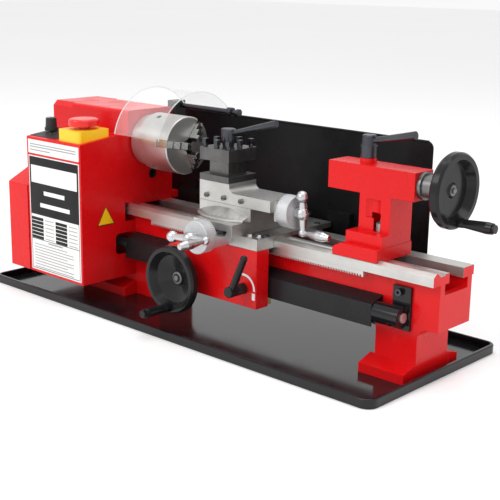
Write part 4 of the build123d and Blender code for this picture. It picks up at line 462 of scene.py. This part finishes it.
left, right = PLATE_X
wide = right - left
plate_slab("plate_white", white_print, [(left, right, 35, 224)], 0.5)
plate_slab("plate_red_line", red_print, [(left, right, 201.5, 204.5)], 0.56)
plate_slab("plate_black", black_print, [(left + 1.5, right - 1.5, 117, 200)], 0.58)
bars = [
    (left + 5, right - 5, 163, 188),
    (left + 33, right - 33, 147, 153),
    (left + 24, right - 22, 129, 135),
]
plate_slab("plate_bars", white_print, bars, 0.64)
greys = [
    (left + 4, right - 6, 217, 218.5),
    (left + 4, right - 6, 213.5, 215),
    (left + 4, left + 50, 209, 210.5),
]
cells = []
for row in range(6):
    z = 113 - row * 5.4
    cells.append((left + 3, left + 30, z - 4.4, z))
    cells.append((left + 58, left + 84, z - 4.4, z))
    greys.append((left + 34, left + 54, z - 2.8, z - 1.6))
    greys.append((left + 88, right - 6, z - 2.8, z - 1.6))
plate_slab("plate_cells", black_print, cells, 0.60)
for row in range(9):
    z = 74 - row * 4.2
    greys.append((left + 8, right - (16 if row % 3 else 30), z - 1.2, z))
greys += [(left + 40, right - 40, 77, 79)]
plate_slab("plate_lines", grey_print, greys, 0.60)
rim = [(left + 2, right - 2, 80.5, 81.3), (left + 2, right - 2, 37, 37.8)]
rim += [(left + 2, left + 2.8, 37, 117), (right - 2.8, right - 2, 37, 117)]
plate_slab("plate_rim", black_print, rim, 0.60)


def triangle(name, look, centre, low, side, lift):
    """A plain three-cornered sticker on the box's right-hand side."""
    bm = bmesh.new()
    x = box_high.x
    corners = [(centre - side / 2, low), (centre + side / 2, low), (centre, low + side * 0.866)]
    near = [bm.verts.new(Vector((x - 0.1, y, z)) * MM) for y, z in corners]
    far = [bm.verts.new(Vector((x + lift, y, z)) * MM) for y, z in corners]
    bm.faces.new(near)
    bm.faces.new(far)
    for k in range(3):
        bm.faces.new((near[k], near[(k + 1) % 3], far[(k + 1) % 3], far[k]))
    return finish_mesh(name, bm, look, "machine")


triangle("sticker_edge", black_print, -81.3, 111.5, 31, 0.25)
triangle("sticker_face", yellow, -81.3, 112.7, 27.5, 0.35)

# -- knob plate, pointer and socket plug
def roof(y):
    """Height of the control box's sloping top."""
    return 227.5 + 7.0 * min(1.0, (y + 123.5) / 62.0)


bm = bmesh.new()
corners = [(-326, -118), (-270, -118), (-270, -66), (-326, -66)]
low = [bm.verts.new(Vector((x, y, roof(y) - 0.2)) * MM) for x, y in corners]
high = [bm.verts.new(Vector((x, y, roof(y) + 0.6)) * MM) for x, y in corners]
bm.faces.new(low)
bm.faces.new(high)
for k in range(4):
    bm.faces.new((low[k], low[(k + 1) % 4], high[(k + 1) % 4], high[k]))
finish_mesh("knob_plate", bm, matt, "machine")
bm = bmesh.new()
for k in range(11):
    angle = math.radians(-135 + 27 * k)
    u, v = math.sin(angle), math.cos(angle)
    x, y = KNOB_AT[0] + 13.2 * u, KNOB_AT[1] + 13.2 * v
    if x <= -325:  # this dot would fall off the plate's left edge
        continue
    add_slab(bm, (x - 0.5, x + 0.5), (y - 0.5, y + 0.5), (roof(y) + 0.3, roof(y) + 0.75))
finish_mesh("knob_dots", bm, white_print, "machine")
knob_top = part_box("speed_knob")[1].z / MM
bm = bmesh.new()
add_slab(bm, (-314.6, -313.4), (-98.2, -92), (knob_top - 0.3, knob_top + 0.15))
finish_mesh("knob_pointer", bm, white_print, "speed_knob")

bm = bmesh.new()
head_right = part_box("headstock")[1].x / MM
add_lathe(
    bm,
    [(3.2, -6), (3.4, 0.6), (5.6, 1.2), (6.8, 0.8), (6.9, -7.5), (0, -7.5)],
    (head_right, 5.8, 174.4),
    (1, 0, 0),
)
finish_mesh("socket_plug", bm, gloss, "machine", True)

# -- gib screws, saddle nuts and bolt heads
bm = bmesh.new()
for x in (-28, 2, 32):
    at = (x, GIB_FACE_Y, GIB_Z)
    add_hex(bm, at, (0, -1, 0), 3.6, 2.6, 0.3)
    add_lathe(
        bm, [(1.7, 2.0), (1.7, 4.2), (0.9, 4.4), (0.9, 3.2), (0, 3.2)], at, (0, -1, 0), segments=16
    )
finish_mesh("gib_screws", bm, dark, "compound", True)
bm = bmesh.new()
for x, y in ((52, -66), (62, -60)):
    add_lathe(bm, [(4.2, 0), (4.2, 0.8), (0, 0.8)], (x, y, SADDLE_TOP), (0, 0, 1), segments=24)
    add_hex(bm, (x, y, SADDLE_TOP + 0.6), (0, 0, 1), 3.4, 2.6, 0.4 * x)
finish_mesh("saddle_nuts", bm, chrome, "carriage", True)
bm = bmesh.new()
for x, y in ((64, -50), (-34, -50), (-34, 50), (64, 50)):
    add_lathe(
        bm,
        [(0, -0.4), (2.0, -0.4), (2.2, 1.2), (3.9, 1.2), (4.2, 0.8), (4.2, -0.2)],
        (x, y, SADDLE_TOP),
        (0, 0, 1),
        segments=24,
    )
finish_mesh("saddle_bolts", bm, blued, "carriage", True)


# -- graduated dials
def dial_marks(name, body, start, along, radius, reach):
    """Engraved lines round a dial: long ones every tenth."""
    bm = bmesh.new()
    place = frame_of(start, along)
    for k in range(50):
        long = reach if k % 5 == 0 else reach * 0.6
        made = bmesh.ops.create_cube(bm, size=1.0)
        mark = (
            place
            @ Matrix.Rotation(2 * math.pi * k / 50, 4, "Z")
            @ Matrix.Translation(Vector((radius, 0, long / 2 + 0.9)) * MM)
            @ Matrix.Diagonal((0.10 * MM, 0.28 * MM, long * MM, 1))
        )
        bmesh.ops.transform(bm, matrix=mark, verts=made["verts"])
    return finish_mesh(name, bm, black_print, body)


dial_marks("cross_dial_marks", "cross_feed", CROSS_DIAL_AT, (0, -1, 0), CROSS_DIAL_R, DIAL_MARK)
dial_marks(
    "compound_dial_marks", "compound_feed", COMPOUND_DIAL_AT, (1, 0, 0), COMPOUND_DIAL_R, DIAL_MARK
)

# -- degree scale on the swivel's slope
bm = bmesh.new()
pivot = Vector((5, -15, 0))
for k in range(-30, 31):
    angle = math.radians(-90 + 1.5 * k)
    r_out, r_in = 67.5, (62.0 if k % 5 == 0 else 64.5)
    at = [Vector((r * math.cos(angle), r * math.sin(angle), 0)) + pivot for r in (r_in, r_out)]
    if not all(-37.5 < p.x < 43.5 and p.y < -63.0 for p in at):
        continue
    slope = (168.2 - 157.6) / (69 - 48)
    side = Vector((-math.sin(angle), math.cos(angle), 0)) * 0.16
    verts = []
    for p, r in zip(at, (r_in, r_out)):
        z = 157.6 + (69 - r) * slope + 0.12
        verts += [bm.verts.new((p + side * sign + Vector((0, 0, z))) * MM) for sign in (1, -1)]
    bm.faces.new((verts[0], verts[1], verts[3], verts[2]))
finish_mesh("swivel_scale", bm, black_print, "swivel")

# -- half-nut position marks on the apron
bm = bmesh.new()
apron_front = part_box("apron")[0].y / MM
ring = []
for k in range(25):
    angle = math.radians(-2 + 100 * k / 24)
    pair = []
    for radius in (16.5, 19.5):
        x = LEVER_AT[0] + radius * math.cos(angle)
        z = LEVER_AT[1] + radius * math.sin(angle)
        pair.append(bm.verts.new(Vector((x, apron_front - 0.2, z)) * MM))
    ring.append(pair)
for a, b in zip(ring, ring[1:]):
    bm.faces.new((a[0], a[1], b[1], b[0]))
add_slab(bm, (64, 69), (apron_front - 0.3, apron_front + 0.1), (61, 70))
finish_mesh("lever_marks", bm, white_print, "carriage")

# -- hub fittings of the two handwheels
bm = bmesh.new()
add_lathe(
    bm,
    [(0, 2.6), (3.2, 2.6), (3.6, 2.2), (3.6, 1.0), (7.6, 0.8), (8.2, 0.2), (8.2, -0.6)],
    (WHEEL_AT[0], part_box("carriage_wheel")[0].y / MM + 61.2, WHEEL_AT[1]),
    (0, -1, 0),
)
finish_mesh("carriage_hub", bm, dark, "carriage_wheel", True)
bm = bmesh.new()
add_lathe(
    bm,
    [(0, 3.2), (2.6, 3.0), (3.4, 2.2), (3.4, 0.4), (6.0, 0.3), (6.4, -0.4)],
    (296.4, 0, 224),
    (1, 0, 0),
)
finish_mesh("tailstock_hub", bm, dark, "tailstock_wheel", True)

# -- rolled hem along the top edge of the splash guard
bm = bmesh.new()
low, high = (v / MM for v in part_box("splash_guard"))
HEM_R = 1.5
turns = [math.radians(a) for a in range(0, 360, 30)]
profile = [(HEM_R * math.cos(a), HEM_R * math.sin(a)) for a in turns]
rows = []
for x in (low.x + 9, high.x - 9):
    rows.append([bm.verts.new(Vector((x, 84.6 + u, high.z - 1.0 + v)) * MM) for u, v in profile])
for k in range(12):
    bm.faces.new((rows[0][k], rows[0][(k + 1) % 12], rows[1][(k + 1) % 12], rows[1][k]))
for row in rows:
    bm.faces.new(row)
finish_mesh("splash_hem", bm, panel_black, "machine", True)

# ---------------------------------------------------------------- floor, light and camera
floor_mesh = bpy.data.meshes.new("floor")
floor_bm = bmesh.new()
bmesh.ops.create_grid(floor_bm, x_segments=1, y_segments=1, size=14.0)
floor_bm.to_mesh(floor_mesh)
floor_bm.free()
floor = bpy.data.objects.new("floor", floor_mesh)
floor.location.z = -0.0006
bpy.context.scene.collection.objects.link(floor)
pale = Shader("pale_floor")
pale_tone = pale.mix(pale.noise(0.7, 2.0), (0.93, 0.93, 0.93), (0.90, 0.90, 0.90))
pale.link(pale_tone, pale.bsdf.inputs["Base Color"])
pale.put(Roughness=0.85)
floor_mesh.materials.append(pale.mat)

bpy.context.scene.view_settings.view_transform = "Standard"
world = bpy.data.worlds.new("studio")
bpy.context.scene.world = world
world.use_nodes = True
world.node_tree.nodes["Background"].inputs["Color"].default_value = (1, 1, 1, 1)
world.node_tree.nodes["Background"].inputs["Strength"].default_value = 0.95


def soft_box(name, at, target, size, power):
    light = bpy.data.lights.new(name, "AREA")
    light.shape = "RECTANGLE"
    light.size, light.size_y = size
    light.energy = power
    lamp = bpy.data.objects.new(name, light)
    lamp.location = at
    lamp.rotation_euler = (Vector(target) - Vector(at)).to_track_quat("-Z", "Y").to_euler()
    bpy.context.scene.collection.objects.link(lamp)


soft_box("key", (-0.6, -2.2, 1.9), (0, 0, 0.15), (1.6, 1.2), 30)
soft_box("top", (0.1, 0.2, 2.3), (0, 0, 0.1), (2.0, 1.4), 18)
soft_box("side", (2.4, -0.3, 0.9), (0, 0, 0.15), (1.2, 1.2), 1)

azimuth, elevation, roll = (math.radians(a) for a in CAMERA_ANGLES)
back = Vector(
    (
        math.sin(azimuth) * math.cos(elevation),
        -math.cos(azimuth) * math.cos(elevation),
        math.sin(elevation),
    )
)
across = Vector((math.cos(azimuth), math.sin(azimuth), 0))
up = back.cross(across)
right_axis = across * math.cos(roll) + up * math.sin(roll)
up_axis = up * math.cos(roll) - across * math.sin(roll)
camera_data = bpy.data.cameras.new("camera")
camera_data.sensor_width = 36.0
camera_data.lens = CAMERA_LENS
camera = bpy.data.objects.new("camera", camera_data)
turn = Matrix((right_axis, up_axis, back)).transposed().to_4x4()
camera.matrix_world = Matrix.Translation(Vector(CAMERA_AT) * MM) @ turn
bpy.context.scene.collection.objects.link(camera)
bpy.context.scene.camera = camera

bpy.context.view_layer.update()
